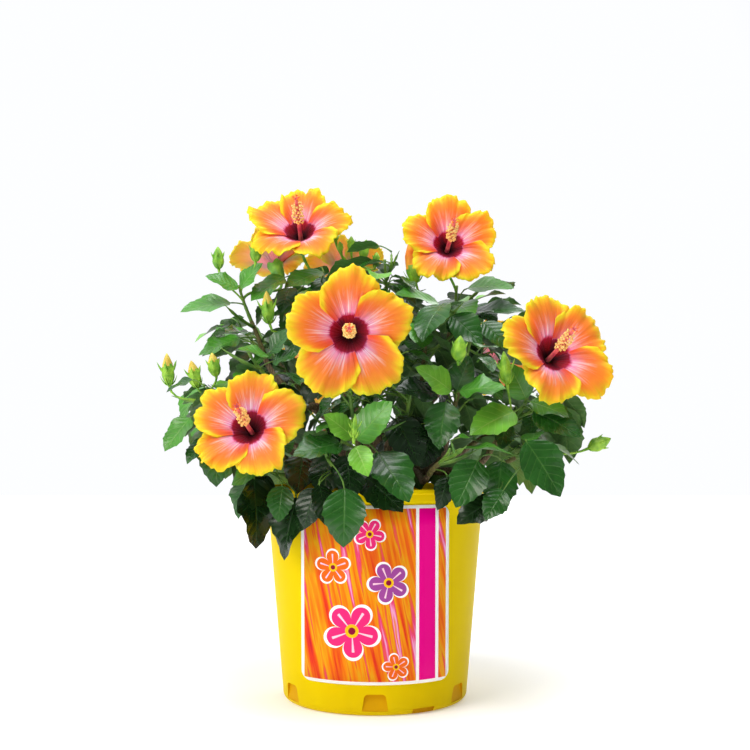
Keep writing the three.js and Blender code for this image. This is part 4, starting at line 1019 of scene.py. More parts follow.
def moistPottingMix():
    # composted bark and peat: near black when moist, with tan fibres, in crumbs of about 2.4 mm
    material, tree = startMaterial("moistPottingMix", {"Roughness": 0.93, "IOR": 1.4})
    place = add(tree, "TexCoord", out="Object")
    crumb = add(tree, "TexNoise", {"Vector": place, "Scale": 420.0, "Detail": 6.0})
    tone = add(tree, "ValToRGB", {0: crumb}, [(0.32, "#120b07"), (0.55, "#2e1f15"), (0.74, "#5d4530")])
    bump = add(tree, "Bump", {"Height": crumb, "Strength": 0.8, "Distance": 0.0015})
    return fed(material, {"Base Color": tone, "Normal": bump})


def barkFinish(name, tones, roughness):
    # thin woody bark: fine lengthwise cracks and small pale pores
    material, tree = startMaterial(name, {"Roughness": roughness, "IOR": 1.45})
    place = add(tree, "TexCoord", out="Object")
    # cracks about 1.5 mm apart, drawn out three times along the limb, and pores about 4 mm apart
    long = add(tree, "Mapping", {"Vector": place, "Scale": (650, 650, 210)})
    crack = add(tree, "TexNoise", {"Vector": long, "Scale": 1.0, "Detail": 5.0, "Roughness": 0.65})
    tone = add(tree, "ValToRGB", {0: crack}, list(zip((0.3, 0.5, 0.72), tones)))
    pore = add(tree, "TexVoronoi", {"Vector": place, "Scale": 260.0}, out="Distance")
    pale = add(tree, "MapRange", {0: pore, 1: 0.12, 2: 0.2, 3: 0.5, 4: 0.0})
    colour = add(tree, "Mix", {0: pale, 6: tone, 7: tones[2]}, out=2, data_type="RGBA")
    bump = add(tree, "Bump", {"Height": crack, "Strength": 0.6, "Distance": 0.0006})
    return fed(material, {"Base Color": colour, "Normal": bump})


def leafCuticle(name, tone, vein, roughness, relief):
    # a living leaf: waxed skin that gives soft white lights, paler veins and blisters between them
    material, tree = startMaterial(name, {
        "IOR": 1.5, "Specular IOR Level": 0.35, "Coat Weight": 0.25, "Coat Roughness": 0.22,
    })
    blade = add(tree, "UVMap", uv_map="blade")
    across, along = add(tree, "SeparateXYZ", {0: blade}).node.outputs[:2]
    off = add(tree, "Math", {0: across, 1: 0.5}, operation="SUBTRACT")
    away = add(tree, "Math", {0: off}, operation="ABSOLUTE")
    side = add(tree, "Math", {0: away, 1: 2.0}, operation="MULTIPLY")
    # seven pairs of side veins sweep forward from the midrib
    sweep = add(tree, "Math", {0: side, 1: 0.26}, operation="MULTIPLY")
    swept = add(tree, "Math", {0: along, 1: sweep}, operation="SUBTRACT")
    ladder = add(tree, "Math", {0: swept, 1: 7.0}, operation="MULTIPLY")
    cup = add(tree, "Math", {0: ladder, 1: 0.5}, operation="PINGPONG")
    thin = add(tree, "MapRange", {0: cup, 1: 0.0, 2: 0.07, 3: 0.75, 4: 0.0})
    rib = add(tree, "MapRange", {0: side, 1: 0.0, 2: 0.055, 3: 1.0, 4: 0.0})
    veins = add(tree, "Math", {0: thin, 1: rib}, operation="MAXIMUM")
    # the edge is a little paler than the blade, and the green drifts over about 18 mm
    margin = add(tree, "MapRange", {0: side, 1: 0.9, 2: 1.0, 3: 0.0, 4: 0.8})
    place = add(tree, "TexCoord", out="Object")
    mottle = add(tree, "TexNoise", {"Vector": place, "Scale": 55.0, "Detail": 3.0})
    lightness = add(tree, "MapRange", {0: mottle, 1: 0.3, 2: 0.7, 3: 0.78, 4: 1.22})
    base = add(tree, "HueSaturation", {"Color": tone, "Value": lightness})
    pale = add(tree, "Math", {0: veins, 1: margin}, operation="MAXIMUM")
    strength = add(tree, "Math", {0: pale, 1: 0.55}, operation="MULTIPLY")
    colour = add(tree, "Mix", {0: strength, 6: base, 7: vein}, out=2, data_type="RGBA")
    # the blade rises between its veins and sinks along the midrib
    ahead = add(tree, "Math", {0: cup, 1: 2.0}, operation="MULTIPLY")
    dome = add(tree, "Math", {0: ahead, 1: 0.6}, operation="POWER")
    sunk = add(tree, "Math", {0: rib, 1: 1.2}, operation="MULTIPLY")
    blister = add(tree, "Math", {0: dome, 1: sunk}, operation="SUBTRACT")
    bump = add(tree, "Bump", {"Height": blister, "Strength": relief, "Distance": 0.0008})
    gloss = add(tree, "MapRange", {0: mottle, 1: 0.3, 2: 0.7, 3: roughness - 0.05, 4: roughness + 0.08})
    return fed(material, {"Base Color": colour, "Roughness": gloss, "Normal": bump})


def petalTissue(name, zones, rays, blush):
    # a hibiscus petal: velvety, with colour zones from the throat to the rim and pale rays out of the eye
    material, tree = startMaterial(name, {
        "Roughness": 0.6, "IOR": 1.4, "Specular IOR Level": 0.2,
        "Subsurface Weight": 0.45, "Subsurface Scale": 0.006,
    })
    petal = add(tree, "UVMap", uv_map="petal")
    across, out = add(tree, "SeparateXYZ", {0: petal}).node.outputs[:2]
    within = add(tree, "Math", {0: across}, operation="FRACT")
    off = add(tree, "Math", {0: within, 1: 0.5}, operation="SUBTRACT")
    twice = add(tree, "Math", {0: off, 1: 2.0}, operation="MULTIPLY")
    side = add(tree, "Math", {0: twice}, operation="ABSOLUTE")
    # veins fan out from the throat, about thirty to a petal, and the colour drifts more slowly
    narrow = add(tree, "Math", {0: across, 1: 34.0}, operation="MULTIPLY")
    drawn = add(tree, "Math", {0: out, 1: 1.3}, operation="MULTIPLY")
    fan = add(tree, "CombineXYZ", {0: narrow, 1: drawn})
    grain = add(tree, "TexNoise", {"Vector": fan, "Scale": 1.0, "Detail": 3.0, "Roughness": 0.6})
    narrow = add(tree, "Math", {0: across, 1: 6.0}, operation="MULTIPLY")
    drawn = add(tree, "Math", {0: out, 1: 1.8}, operation="MULTIPLY")
    wide = add(tree, "CombineXYZ", {0: narrow, 1: drawn})
    drift = add(tree, "TexNoise", {"Vector": wide, "Scale": 1.0, "Detail": 2.0})
    shifts = []
    for pattern, amount in ((grain, 0.22), (drift, 0.3)):
        even = add(tree, "Math", {0: pattern, 1: 0.5}, operation="SUBTRACT")
        shifts.append(add(tree, "Math", {0: even, 1: amount}, operation="MULTIPLY"))
    shift = add(tree, "Math", {0: shifts[0], 1: shifts[1]}, operation="ADD")
    # the eye's edge draws in beside each petal's flank, and the rim's colour runs down the flanks
    square = add(tree, "Math", {0: side, 1: 2.0}, operation="POWER")
    drawnIn = add(tree, "Math", {0: square, 1: 0.09}, operation="MULTIPLY")
    fifth = add(tree, "Math", {0: side, 1: 5.0}, operation="POWER")
    beyond = add(tree, "Math", {0: out, 1: 0.0}, operation="MAXIMUM")
    run = add(tree, "Math", {0: beyond, 1: 0.3}, operation="MULTIPLY")
    runDown = add(tree, "Math", {0: fifth, 1: run}, operation="MULTIPLY")
    flank = add(tree, "Math", {0: drawnIn, 1: runDown}, operation="ADD")
    moved = add(tree, "Math", {0: out, 1: flank}, operation="ADD")
    uneven = add(tree, "MapRange", {0: out, 1: 0.0, 2: 0.6, 3: 0.5, 4: 1.0})
    wavering = add(tree, "Math", {0: shift, 1: uneven}, operation="MULTIPLY")
    place = add(tree, "Math", {0: moved, 1: wavering}, operation="ADD")
    zone = add(tree, "MapRange", {0: place, 1: -1.0, 2: 1.0, 3: 0.0, 4: 1.0})
    colour = add(tree, "ValToRGB", {0: zone}, zones)
    # pale rays leave the eye and fade towards the rim and the flanks
    start = add(tree, "MapRange", {0: place, 1: 0.0, 2: 0.06, 3: 0.0, 4: 1.0})
    streak = add(tree, "MapRange", {0: grain, 1: 0.48, 2: 0.66, 3: 0.0, 4: rays})
    fading = add(tree, "MapRange", {0: out, 1: 0.06, 2: 0.62, 3: 1.0, 4: 0.0})
    inner = add(tree, "MapRange", {0: side, 1: 0.35, 2: 0.85, 3: 1.0, 4: 0.12})
    lengthwise = add(tree, "Math", {0: start, 1: fading}, operation="MULTIPLY")
    crosswise = add(tree, "Math", {0: streak, 1: inner}, operation="MULTIPLY")
    ray = add(tree, "Math", {0: lengthwise, 1: crosswise}, operation="MULTIPLY")
    colour = add(tree, "Mix", {0: ray, 6: colour, 7: "#ffe9ee"}, out=2, data_type="RGBA")
    # a hot blush on both flanks just outside the eye
    sideways = add(tree, "MapRange", {0: side, 1: 0.35, 2: 0.8, 3: 0.0, 4: blush})
    fading = add(tree, "MapRange", {0: out, 1: 0.1, 2: 0.75, 3: 1.0, 4: 0.0})
    lengthwise = add(tree, "Math", {0: start, 1: fading}, operation="MULTIPLY")
    hot = add(tree, "Math", {0: sideways, 1: lengthwise}, operation="MULTIPLY")
    colour = add(tree, "Mix", {0: hot, 6: colour, 7: "#f04418"}, out=2, data_type="RGBA")
    bump = add(tree, "Bump", {"Height": grain, "Strength": 0.6, "Distance": 0.0011})
    return fed(material, {"Base Color": colour, "Normal": bump})


def softFinish(name, tones, roughness, scale):
    # small soft parts: one colour that drifts a little, over grains that the scale counts to a metre
    material, tree = startMaterial(name, {"Roughness": roughness, "IOR": 1.42})
    place = add(tree, "TexCoord", out="Object")
    drift = add(tree, "TexNoise", {"Vector": place, "Scale": scale, "Detail": 3.0})
    tone = add(tree, "ValToRGB", {0: drift}, list(zip((0.35, 0.65), tones)))
    bump = add(tree, "Bump", {"Height": drift, "Strength": 0.3, "Distance": 0.0004})
    return fed(material, {"Base Color": tone, "Normal": bump})


# The pot, its label and the potting mix


def lathed(bm, profile):
    # spins a profile of radii and heights round the upright axis
    points = [bm.verts.new((r * mm, 0, z * mm)) for r, z in profile]
    edges = [bm.edges.new(pair) for pair in zip(points, points[1:])]
    bmesh.ops.spin(bm, geom=points + edges, cent=(0, 0, 0), axis=(0, 0, 1), angle=2 * math.pi,
                   steps=pot["turns"], use_merge=True, use_duplicate=False)
    bmesh.ops.remove_doubles(bm, verts=bm.verts, dist=1e-6)
    bmesh.ops.recalc_face_normals(bm, faces=bm.faces)


def arc(centre, radius, first, last, steps):
    angles = [math.radians(mix(first, last, k / steps)) for k in range(steps + 1)]
    return [(centre[0] + radius * math.cos(a), centre[1] + radius * math.sin(a)) for a in angles]


drain = {
    "pockets": 6, "width": (25, 20), "span": (5, 21), "depth": 2.4, "cornerRound": 3.2,
    "slots": 3, "slotWidth": 24, "slotHeight": 6, "slotDepth": 4, "firstSlot": 30,
}


def drainCutters(recess):
    # shallow pockets with rounded heads low on the wall, and slots through the corner between them
    bm = bmesh.new()
    low, high = drain["span"]
    foot, head = [w / 2 for w in drain["width"]]
    middle = (low + high) / 2
    slope = -math.atan2(pot["topRadius"] - pot["footRadius"], pot["height"])
    depth = Matrix.Translation((0, drain["depth"] - wallRadius(middle), middle))
    for k in range(drain["pockets"]):
        corners = [(-foot, low), (foot, low), (head, high), (-head, high)]
        outline = [bm.verts.new((x, 0, z - middle)) for x, z in corners]
        bm.faces.new(outline)
        rounded = bmesh.ops.bevel(bm, geom=outline[2:], affect="VERTICES", offset=drain["cornerRound"],
                                  segments=4, profile=0.5, material=-1)
        face = [f for f in bm.faces if set(f.verts) & set(rounded["verts"])][-1]
        pushed = bmesh.ops.extrude_face_region(bm, geom=[face])
        moved = [v for v in pushed["geom"] if isinstance(v, bmesh.types.BMVert)]
        bmesh.ops.translate(bm, verts=moved, vec=(0, -20, 0))
        turn = Matrix.Rotation(math.radians(360 / drain["pockets"] * k), 4, "Z")
        place = turn @ depth @ Matrix.Rotation(slope, 4, "X")
        bmesh.ops.transform(bm, matrix=place, verts=connected(moved))
    for k in range(drain["slots"]):
        turn = Matrix.Rotation(math.radians(drain["firstSlot"] + 360 / drain["slots"] * k), 4, "Z")
        size = (drain["slotWidth"], 2 * drain["slotDepth"], 2 * drain["slotHeight"])
        shape = Matrix.Diagonal((*size, 1))
        bmesh.ops.create_cube(bm, size=1, matrix=turn @ Matrix.Translation((0, -wallRadius(0), 0)) @ shape)
    bmesh.ops.scale(bm, vec=(mm, mm, mm), verts=bm.verts)
    bmesh.ops.recalc_face_normals(bm, faces=bm.faces)
    return objectFromBmesh(bm, "drainCutters", [recess])


def connected(verts):
    # every vertex that hangs together with these
    found, queue = set(verts), list(verts)
    while queue:
        for edge in queue.pop().link_edges:
            for v in edge.verts:
                if v not in found:
                    found.add(v)
                    queue.append(v)
    return list(found)


def buildPot(finish, recess):
    bandFoot = pot["height"] - pot["bandHeight"] - pot["lipHeight"]
    lipFoot = pot["height"] - pot["lipHeight"]
    top = pot["topRadius"] + pot["bandProud"]
    turn = pot["footRound"]
    profile = [(0, 0), (wallRadius(0) - turn - 1, 0)]
    profile += arc((wallRadius(turn) - turn, turn), turn, -82, 4, 8)
    profile += [(wallRadius(z), z) for z in (24, 60, 100, 140, 180)]
    profile += [(wallRadius(bandFoot) - 0.1, bandFoot - 0.5), (wallRadius(bandFoot) + 0.2, bandFoot)]
    profile += [(top - 0.3, bandFoot + 0.7), (top, bandFoot + 1.4), (top + 0.4, lipFoot - 0.8)]
    profile += [(top + 0.8, lipFoot - 0.3), (top + pot["lipProud"] - 0.5, lipFoot)]
    profile += arc((top + pot["lipProud"] - 0.9, lipFoot + 0.9), 0.9, -60, 0, 3)
    profile += arc((top + pot["lipProud"] - 1.2, pot["height"] - 1.2), 1.2, 0, 90, 4)
    profile += arc((top - pot["wall"] + 0.8, pot["height"] - 0.8), 0.8, 90, 180, 3)
    profile += [(wallRadius(bandFoot) - pot["wall"], bandFoot - 2)]
    profile += [(wallRadius(z) - pot["wall"], z) for z in (180, 140, 100, 60, pot["ringHeight"])]
    profile += [(wallRadius(pot["floor"]) - pot["ringWall"], pot["floor"]), (0, pot["floor"])]
    bm = bmesh.new()
    lathed(bm, profile)
    piece = objectFromBmesh(bm, "potShell", [finish])
    # the cut faces take the cutters' finish, a darker yellow that paints the shade in the pockets and slots
    cutters = drainCutters(recess)
    cut = piece.modifiers.new("drain", "BOOLEAN")
    cut.operation, cut.solver, cut.object, cut.material_mode = "DIFFERENCE", "EXACT", cutters, "TRANSFER"
    mesh = applied(piece)
    bpy.data.objects.remove(cutters)
    mesh.shade_smooth()
    mesh.set_sharp_from_angle(angle=math.radians(32))
    finishPiece(objectFrom(mesh, "nurseryPot"), "pot", "pot")


label = {"width": 143, "bottom": 30.4, "top": 200.4, "corner": 9, "thickness": 0.8, "strip": 3.5}


def buildLabel(finish):
    # a round-cornered sheet, cut into upright strips so that it bends round the wall
    half, low, high = label["width"] / 2, label["bottom"], label["top"]
    bm = bmesh.new()
    corners = [bm.verts.new((x, 0, z)) for x, z in ((-half, low), (half, low), (half, high), (-half, high))]
    bm.faces.new(corners)
    bmesh.ops.bevel(bm, geom=corners, affect="VERTICES", offset=label["corner"], segments=8, profile=0.5,
                    material=-1)
    strips = int(label["width"] / label["strip"])
    for k in range(1, strips):
        cut = mix(-half, half, k / strips)
        bmesh.ops.bisect_plane(bm, geom=bm.verts[:] + bm.edges[:] + bm.faces[:], plane_co=(cut, 0, 0),
                               plane_no=(1, 0, 0))
    for z in (60, 90, 120, 150, 180):
        bmesh.ops.bisect_plane(bm, geom=bm.verts[:] + bm.edges[:] + bm.faces[:], plane_co=(0, 0, z),
                               plane_no=(0, 0, 1))
    sheetMap = bm.loops.layers.uv.new("label")
    middle = (low + high) / 2
    for face in bm.faces:
        for loop in face.loops:
            loop[sheetMap].uv = (loop.vert.co.x, loop.vert.co.z - middle)
    for v in bm.verts:
        reach = wallRadius(v.co.z) + gap + label["thickness"]
        v.co.y = -math.sqrt(reach ** 2 - v.co.x ** 2)
    bmesh.ops.scale(bm, vec=(mm, mm, mm), verts=bm.verts)
    piece = objectFromBmesh(bm, "labelSheet", [finish])
    piece.data.shade_smooth()
    wall = piece.modifiers.new("film", "SOLIDIFY")
    wall.thickness, wall.offset = (label["thickness"] - 0.05) * mm, -1
    finishPiece(piece, "pot_label", "pot_label")


mixLook = {
    "rings": 26, "lump": 2.2, "chips": 420, "chipSize": (2.5, 7), "chipWidth": (0.35, 0.6),
    "chipDepth": 0.28, "perlite": 70, "perliteSize": 0.45,
}


def buildPottingMix(finish, barkChip, perlite):
    def inside(z):
        return wallRadius(z) - pot["wall"] - gap

    low, edge = pot["floor"] + gap, soil["top"] - soil["crownDrop"]
    rim = inside(edge)

    def crownHeight(r):
        # flat round the trunk, and sinking towards the wall
        share = (r - soil["crownFlat"]) / (rim - soil["crownFlat"])
        return mix(soil["top"], edge, min(1, max(0, share)) ** 1.4)

    profile = [(0, low), (wallRadius(low) - pot["ringWall"] - gap, low)]
    profile += [(inside(z), z) for z in (pot["ringHeight"], 90, 140, edge - 1)]
    for k in range(mixLook["rings"] + 1):
        r = mix(rim, 0, k / mixLook["rings"])
        profile.append((r, crownHeight(r)))
    bm = bmesh.new()
    lathed(bm, profile)
    for v in bm.verts:
        if v.co.z > (edge - 0.5) * mm and v.co.xy.length < (rim - 1) * mm:
            bumpy = noise.fractal(v.co * 130, 0.9, 2.0, 4) * mixLook["lump"]
            v.co.z += (min(1.6, bumpy) - 1.0) * mm
    rnd = seeded(77)
    for k in range(mixLook["chips"] + mixLook["perlite"]):
        white = k >= mixLook["chips"]
        r, angle = (rim - 4) * math.sqrt(rnd()), 2 * math.pi * rnd()
        size = mix(*mixLook["chipSize"], rnd() ** 2) * (mixLook["perliteSize"] if white else 1)
        top = crownHeight(r) - 1.0
        spot = Matrix.Translation((r * math.cos(angle) * mm, r * math.sin(angle) * mm, top * mm))
        tilt = Matrix.Rotation(6.28 * rnd(), 4, "Z") @ Matrix.Rotation(0.8 * (rnd() - 0.5), 4, "X")
        flat = (size, size, size)
        if not white:
            flat = (size, size * mix(*mixLook["chipWidth"], rnd()), size * mixLook["chipDepth"])
        shape = Matrix.Diagonal((*[side * mm / 2 for side in flat], 1))
        chip = bmesh.ops.create_icosphere(bm, subdivisions=1, radius=1, matrix=spot @ tilt @ shape)
        for face in {face for v in chip["verts"] for face in v.link_faces}:
            face.material_index = 2 if white else 1
    piece = objectFromBmesh(bm, "mixInPot", [finish, barkChip, perlite])
    finishPiece(piece, "potting_mix", "potting_mix")


buildPot(
    mouldedPolypropylene("mouldedPolypropylene", "#e6ca04", "#dfc102"),
    # the pockets and slots take a darker, oranger yellow: painted shade inside the recesses
    mouldedPolypropylene("recessShadePolypropylene", "#dfa908", "#d49b06"),
)
buildLabel(printedFilm())
buildPottingMix(
    moistPottingMix(),
    barkFinish("barkChip", ("#2a1a10", "#4e3420", "#7a5a3c"), 0.9),
    softFinish("perliteGrain", ("#cfc9bd", "#ece8df"), 0.9, 900.0),
)
print("pot, label and potting mix made")

# Limbs, stems, twigs and leaf stalks

limbLook = {
    "sides": 14, "ring": 2.2, "collar": 0.45, "ridge": 0.07, "scarStep": 15, "scar": 0.08, "rootLobes": 0,
}
trunkLook = dict(limbLook, collar=0, rootLobes=0.14)
stemLook = dict(limbLook, sides=9, ring=3.0, collar=0.1, ridge=0.05, scarStep=9, scar=0.16)
stalkLook = {
    "swell": (1.5, 1.0, 0.85, 0.8, 0.95, 0.6),  # from the twig to the blade, in millimetres
    "intoBlade": 1.5, "leave": 0.45, "ease": 0.32,
}


def roughTube(curve, radiusAt, look, seed):
    # a limb that swells at its root and at old leaf scars, is ridged, and may have lobes at its foot
    length, sides = curveLength(curve), look["sides"]
    rings = max(6, int(length / look["ring"]))
    shares = np.linspace(0, 1, rings + 1)
    run = shares * length
    swell = 1 + look["collar"] * np.exp(-run / 4)
    scar = (run + 5 * seed) % look["scarStep"] - look["scarStep"] / 2
    swell += look["scar"] * np.exp(-(scar / 1.3) ** 2)
    rough = np.empty((len(run), sides))
    for i, along in enumerate(run):
        for k in range(sides):
            angle = 2 * math.pi * k / sides
            spot = Vector((1.6 * math.cos(angle), 1.6 * math.sin(angle), along / 7 + 31.7 * seed))
            rough[i, k] = noise.noise(spot) + 0.5 * noise.noise(spot * 2.7)
    radii = np.array([radiusAt(t) for t in shares])[:, None] * (swell[:, None] + look["ridge"] * rough)
    angles = np.arange(sides) * 2 * math.pi / sides
    flare = np.maximum(0, 1 - shares / 0.3)[:, None] ** 2
    radii = radii * (1 + look["rootLobes"] * flare * np.cos(3 * angles + 1))
    return tube(curvePoint(curve, shares), radii, sides)


def buildLimbs(finish):
    pile = newPile()
    pileUp(pile, *roughTube(*limbs["trunk"], trunkLook, 0))
    for number, shoot in enumerate(shoots):
        pileUp(pile, *roughTube(*limbs[shoot["name"]], limbLook, number + 1))
    piece = objectFrom(meshFromPile(pile, "limbs", [finish]), "limbs")
    finishPiece(piece, "bark", "trunk", *["bough_" + shoot["name"] for shoot in shoots])


def buildTwigs(woody, green):
    pile = newPile()
    shares, steps = np.linspace(0, 1, 8), np.linspace(0, 1, len(stalkLook["swell"]))
    sides = stemLook["sides"]
    for number, shoot in enumerate(shoots):
        # a stem is woody in its lower half and green above
        points, faces = roughTube(*limbs[shoot["name"] + " stem"], stemLook, 40 + number)
        lower = sides * ((len(points) // sides - 1) // 2)
        pileUp(pile, points, faces, [0] * lower + [1] * (len(faces) - lower))
        for curve, radiusAt, k in shoot["grown"]:
            # knots at every second ring, and a tip that closes in
            radii = [radiusAt(t) * (1.35 if i % 2 and i > 1 else 1) for i, t in enumerate(shares)]
            radii[-2:] = [radii[-2] * 0.6, 0.25]
            pileUp(pile, *tube(curvePoint(curve, shares), radii, 6), 1)
        for blade in shoot["blades"]:
            thick = 0.5 + 0.5 * blade["length"] / 66
            leave = unit(unit(blade["neck"] - blade["root"]) + stalkLook["leave"] * blade["way"])
            end = blade["neck"] + blade["along"] * stalkLook["intoBlade"]
            stalk = bent(blade["root"], leave, end, blade["along"], stalkLook["ease"])
            pileUp(pile, *tube(curvePoint(stalk, steps), arr(*stalkLook["swell"]) * thick, 5), 1)
    finishPiece(objectFrom(meshFromPile(pile, "twigs", [woody, green]), "twigs"), "leaves")


# Leaves

leafLook = {
    "rows": (0.05, 0.13, 0.22, 0.31, 0.39, 0.46, 0.53, 0.60, 0.67, 0.74, 0.81, 0.875, 0.935),
    "smoothRows": 4,  # the base of the blade has no teeth
    "tooth": 0.065, "notch": 0.04, "push": 0.013,
    "thick": 0.35, "fold": 0.16, "sag": 0.1, "ripple": 0.16, "cell": 0.94,
}


def leafTemplate():
    # neck, tip, five points to each row across the upper skin, then three to each row across the lower
    rows = leafLook["rows"]
    points = [(0, 0, 0), (1, 0, 0)]
    for i, t in enumerate(rows):
        tooth = 0 if i < leafLook["smoothRows"] else (1 if i % 2 else -1)
        spread = 1 + (leafLook["tooth"] if tooth > 0 else leafLook["notch"] * tooth)
        for v in (-1, -0.5, 0, 0.5, 1):
            atRim = abs(v) == 1
            points.append((t + (leafLook["push"] * tooth if atRim else 0), v * (spread if atRim else 1), 0))
    points += [(t, v, 1) for t in rows for v in (-0.5, 0, 0.5)]
    last = len(rows) - 1
    lower = 2 + 5 * len(rows)
    upperRows = [[2 + 5 * i + k for k in range(5)] for i in range(len(rows))]
    lowerRows = []
    for i, row in enumerate(upperRows):
        start = lower + 3 * i
        lowerRows.append([row[0], start, start + 1, start + 2, row[4]])
    faces = []
    for skin, flip in ((upperRows, 1), (lowerRows, -1)):
        for k in range(4):
            faces.append((0, skin[0][k], skin[0][k + 1])[::flip])
            faces.append((1, skin[last][k + 1], skin[last][k])[::flip])
            for i in range(last):
                faces.append((skin[i][k], skin[i + 1][k], skin[i + 1][k + 1])[::flip])
                faces.append((skin[i][k], skin[i + 1][k + 1], skin[i][k + 1])[::flip])
    rim = np.zeros(len(points), dtype=bool)
    rim[:2] = True
    rim[2:lower:5] = rim[6:lower:5] = True
    return np.array(points, dtype=float), faces, len(faces) // 2, rim


leafPoints, leafFaces, leafUpper, leafRim = leafTemplate()
leafCorners = np.array([i for face in leafFaces for i in face])
leafIsUpper = np.array([f < leafUpper for f, face in enumerate(leafFaces) for i in face])


def leafShape(blade):
    t, v, under = leafPoints.T
    length, draw = blade["length"], blade["draw"]
    half = length * leaf["slender"] * bladeWidth(t) / 2
    half[1] = 0
    away = np.abs(v)
    lift = leafLook["fold"] * away * half - (blade["curl"] + leafLook["sag"]) * length * t * t
    # the rim ripples, more on one leaf than on another, and each side in its own time
    wave = np.sin(t * mix(7, 12, draw[1]) + np.where(v < 0, 6, 2) * draw[3] * 3)
    lift = lift + leafLook["ripple"] * mix(0.4, 1.3, draw[2]) * half * away ** 2 * wave
    lift = lift - under * leafLook["thick"] * (1 + 0.6 * (1 - t))
    sway = 0.09 * (draw[0] - 0.5) * length * t * t
    return (
        blade["neck"] + blade["along"] * (length * (t - 0.06 * t * t))[:, None]
        + blade["side"] * (v * half + sway)[:, None] + blade["normal"] * lift[:, None]
    )


# a grown leaf that runs through another is turned about its neck: turns in degrees, each tried in every
# way of tipping and swinging, at each share of its size
easing = {
    "sizes": (1, 0.85, 0.7), "turns": (7, 14, 21, 28, 36),
    "ways": ((1, 0), (-1, 0), (0, 1), (0, -1), (0.7, 0.7), (-0.7, 0.7), (0.7, -0.7), (-0.7, -0.7)),
    "reach": 1.3,  # in lengths of the leaf, how far from its neck it may meet anything
}


def swung(first, second, turn):
    # two directions at right angles, both turned in their plane by degrees
    angle = math.radians(turn)
    across, along = math.sin(angle), math.cos(angle)
    return first * along + second * across, second * along - first * across


def eased(blade, size, tip, swing):
    along, normal = swung(blade["along"], blade["normal"], tip)
    along, side = swung(along, blade["side"], swing)
    return dict(blade, along=along, side=side, normal=normal, length=blade["length"] * size)


def skinOf(points, faces):
    return BVHTree.FromPolygons(points.tolist(), faces), points.min(axis=0), points.max(axis=0)


def leafSkin(blade):
    return skinOf(leafShape(blade), leafFaces)


def nearby(low, high, others):
    return [other for other in others if (other[1] < high).all() and (other[2] > low).all()]


def crossings(skin, others):
    tree, low, high = skin
    return sum(len(tree.overlap(other[0])) for other in nearby(low, high, others))


def wayClear(blade, others):
    # the first way for a leaf to lie that runs through nothing, or else the one that crosses least
    reach = easing["reach"] * blade["length"]
    others = nearby(blade["neck"] - reach, blade["neck"] + reach, others)
    best = (crossings(leafSkin(blade), others), blade)
    trials = [
        (size, turn * tip, turn * swing)
        for size in easing["sizes"] for turn in easing["turns"] for tip, swing in easing["ways"]
    ]
    for trial in trials:
        if not best[0]:
            break
        turned = eased(blade, *trial)
        found = crossings(leafSkin(turned), others)
        if found >= best[0]:
            continue
        samples = bladeSamples(turned)
        if not (inPot(samples).any() or inBloom(samples).any() or hides(turned)):
            best = (found, turned)
    return best


def easeApart():
    # the leaves that were set one by one stay, and grown ones that run through a leaf or a stem give way
    shares = np.linspace(0, 1, 12)
    stems = list(limbs.values()) + [twig[:2] for shoot in shoots for twig in shoot["grown"]]
    others = []
    for curve, radiusAt in stems:
        others.append(skinOf(*tube(curvePoint(curve, shares), [radiusAt(t) for t in shares], 6)))
    others += [leafSkin(blade) for shoot in shoots for blade in shoot["broad"]]
    turned = plucked = 0
    for shoot in shoots:
        kept = []
        for grown in shoot["blades"]:
            if "tone" in grown:
                kept.append(grown)
                continue
            found, blade = wayClear(grown, others)
            if found:
                plucked += 1
                continue
            turned += blade is not grown
            kept.append(blade)
            others.append(leafSkin(blade))
        shoot["blades"] = kept
    print("leaves eased apart:", turned, "turned and", plucked, "plucked")


# how a grown leaf's colour goes with its age: the ages below which it is one step fresher, how far age
# strays, and what is added to it from a low place to a high one: low leaves darker, partly as painted shade,
# and high ones paler
toneLook = {"ages": (0.12, 0.42, 0.82), "stray": 0.4, "heights": (200, 420), "older": (0.3, -0.14)}
undersideSlot = 4


def leafTone(blade, rnd):
    # tip leaves are the palest, and old ones inside the crown the darkest
    if "tone" in blade:
        return blade["tone"]
    age = blade["age"] + toneLook["stray"] * (rnd() - 0.5)
    age += np.interp(blade["neck"][2], toneLook["heights"], toneLook["older"])
    return sum(1 for limit in toneLook["ages"] if age < limit)


def buildLeaves(shoot, number, finishes):
    rnd = seeded(31 * (number + 1))
    pile = newPile()
    blades = shoot["blades"]
    across = math.ceil(math.sqrt(len(blades)))
    place = np.stack([leafPoints[leafCorners, 1] / 2.2 + 0.5, leafPoints[leafCorners, 0]], axis=1)
    # each leaf bakes into a cell of its own, the upper skin beside the lower
    squeezed = place * np.where(leafIsUpper, 0.6, 0.34)[:, None] * (1, 0) + place * (0, 1)
    squeezed[:, 0] += np.where(leafIsUpper, 0.01, 0.64)
    underside = [undersideSlot] * (len(leafFaces) - leafUpper)
    bakeMap = []
    for k, blade in enumerate(blades):
        pileUp(pile, leafShape(blade), leafFaces, [leafTone(blade, rnd)] * leafUpper + underside)
        bakeMap.append((np.array([k % across, k // across]) + 0.03 + squeezed * leafLook["cell"]) / across)
    bladeMap = [np.clip(place, 0, 1)] * len(blades)
    name = "leaves_" + shoot["name"]
    mesh = meshFromPile(pile, name, finishes)
    for mapName, places in (("blade", bladeMap), ("OFBake", bakeMap)):
        layer = mesh.uv_layers.new(name=mapName)
        layer.data.foreach_set("uv", np.concatenate(places).ravel())
    # a hard edge all round keeps the lower skin's shading off the upper
    ends = np.empty(2 * len(mesh.edges), dtype=np.int32)
    mesh.edges.foreach_get("vertices", ends)
    rim = np.tile(leafRim, len(blades))[ends.reshape(-1, 2)].all(axis=1)
    mesh.attributes.new("sharp_edge", "BOOLEAN", "EDGE").data.foreach_set("value", rim)
    finishPiece(objectFrom(mesh, name), "leaves", "foliage_" + shoot["name"])


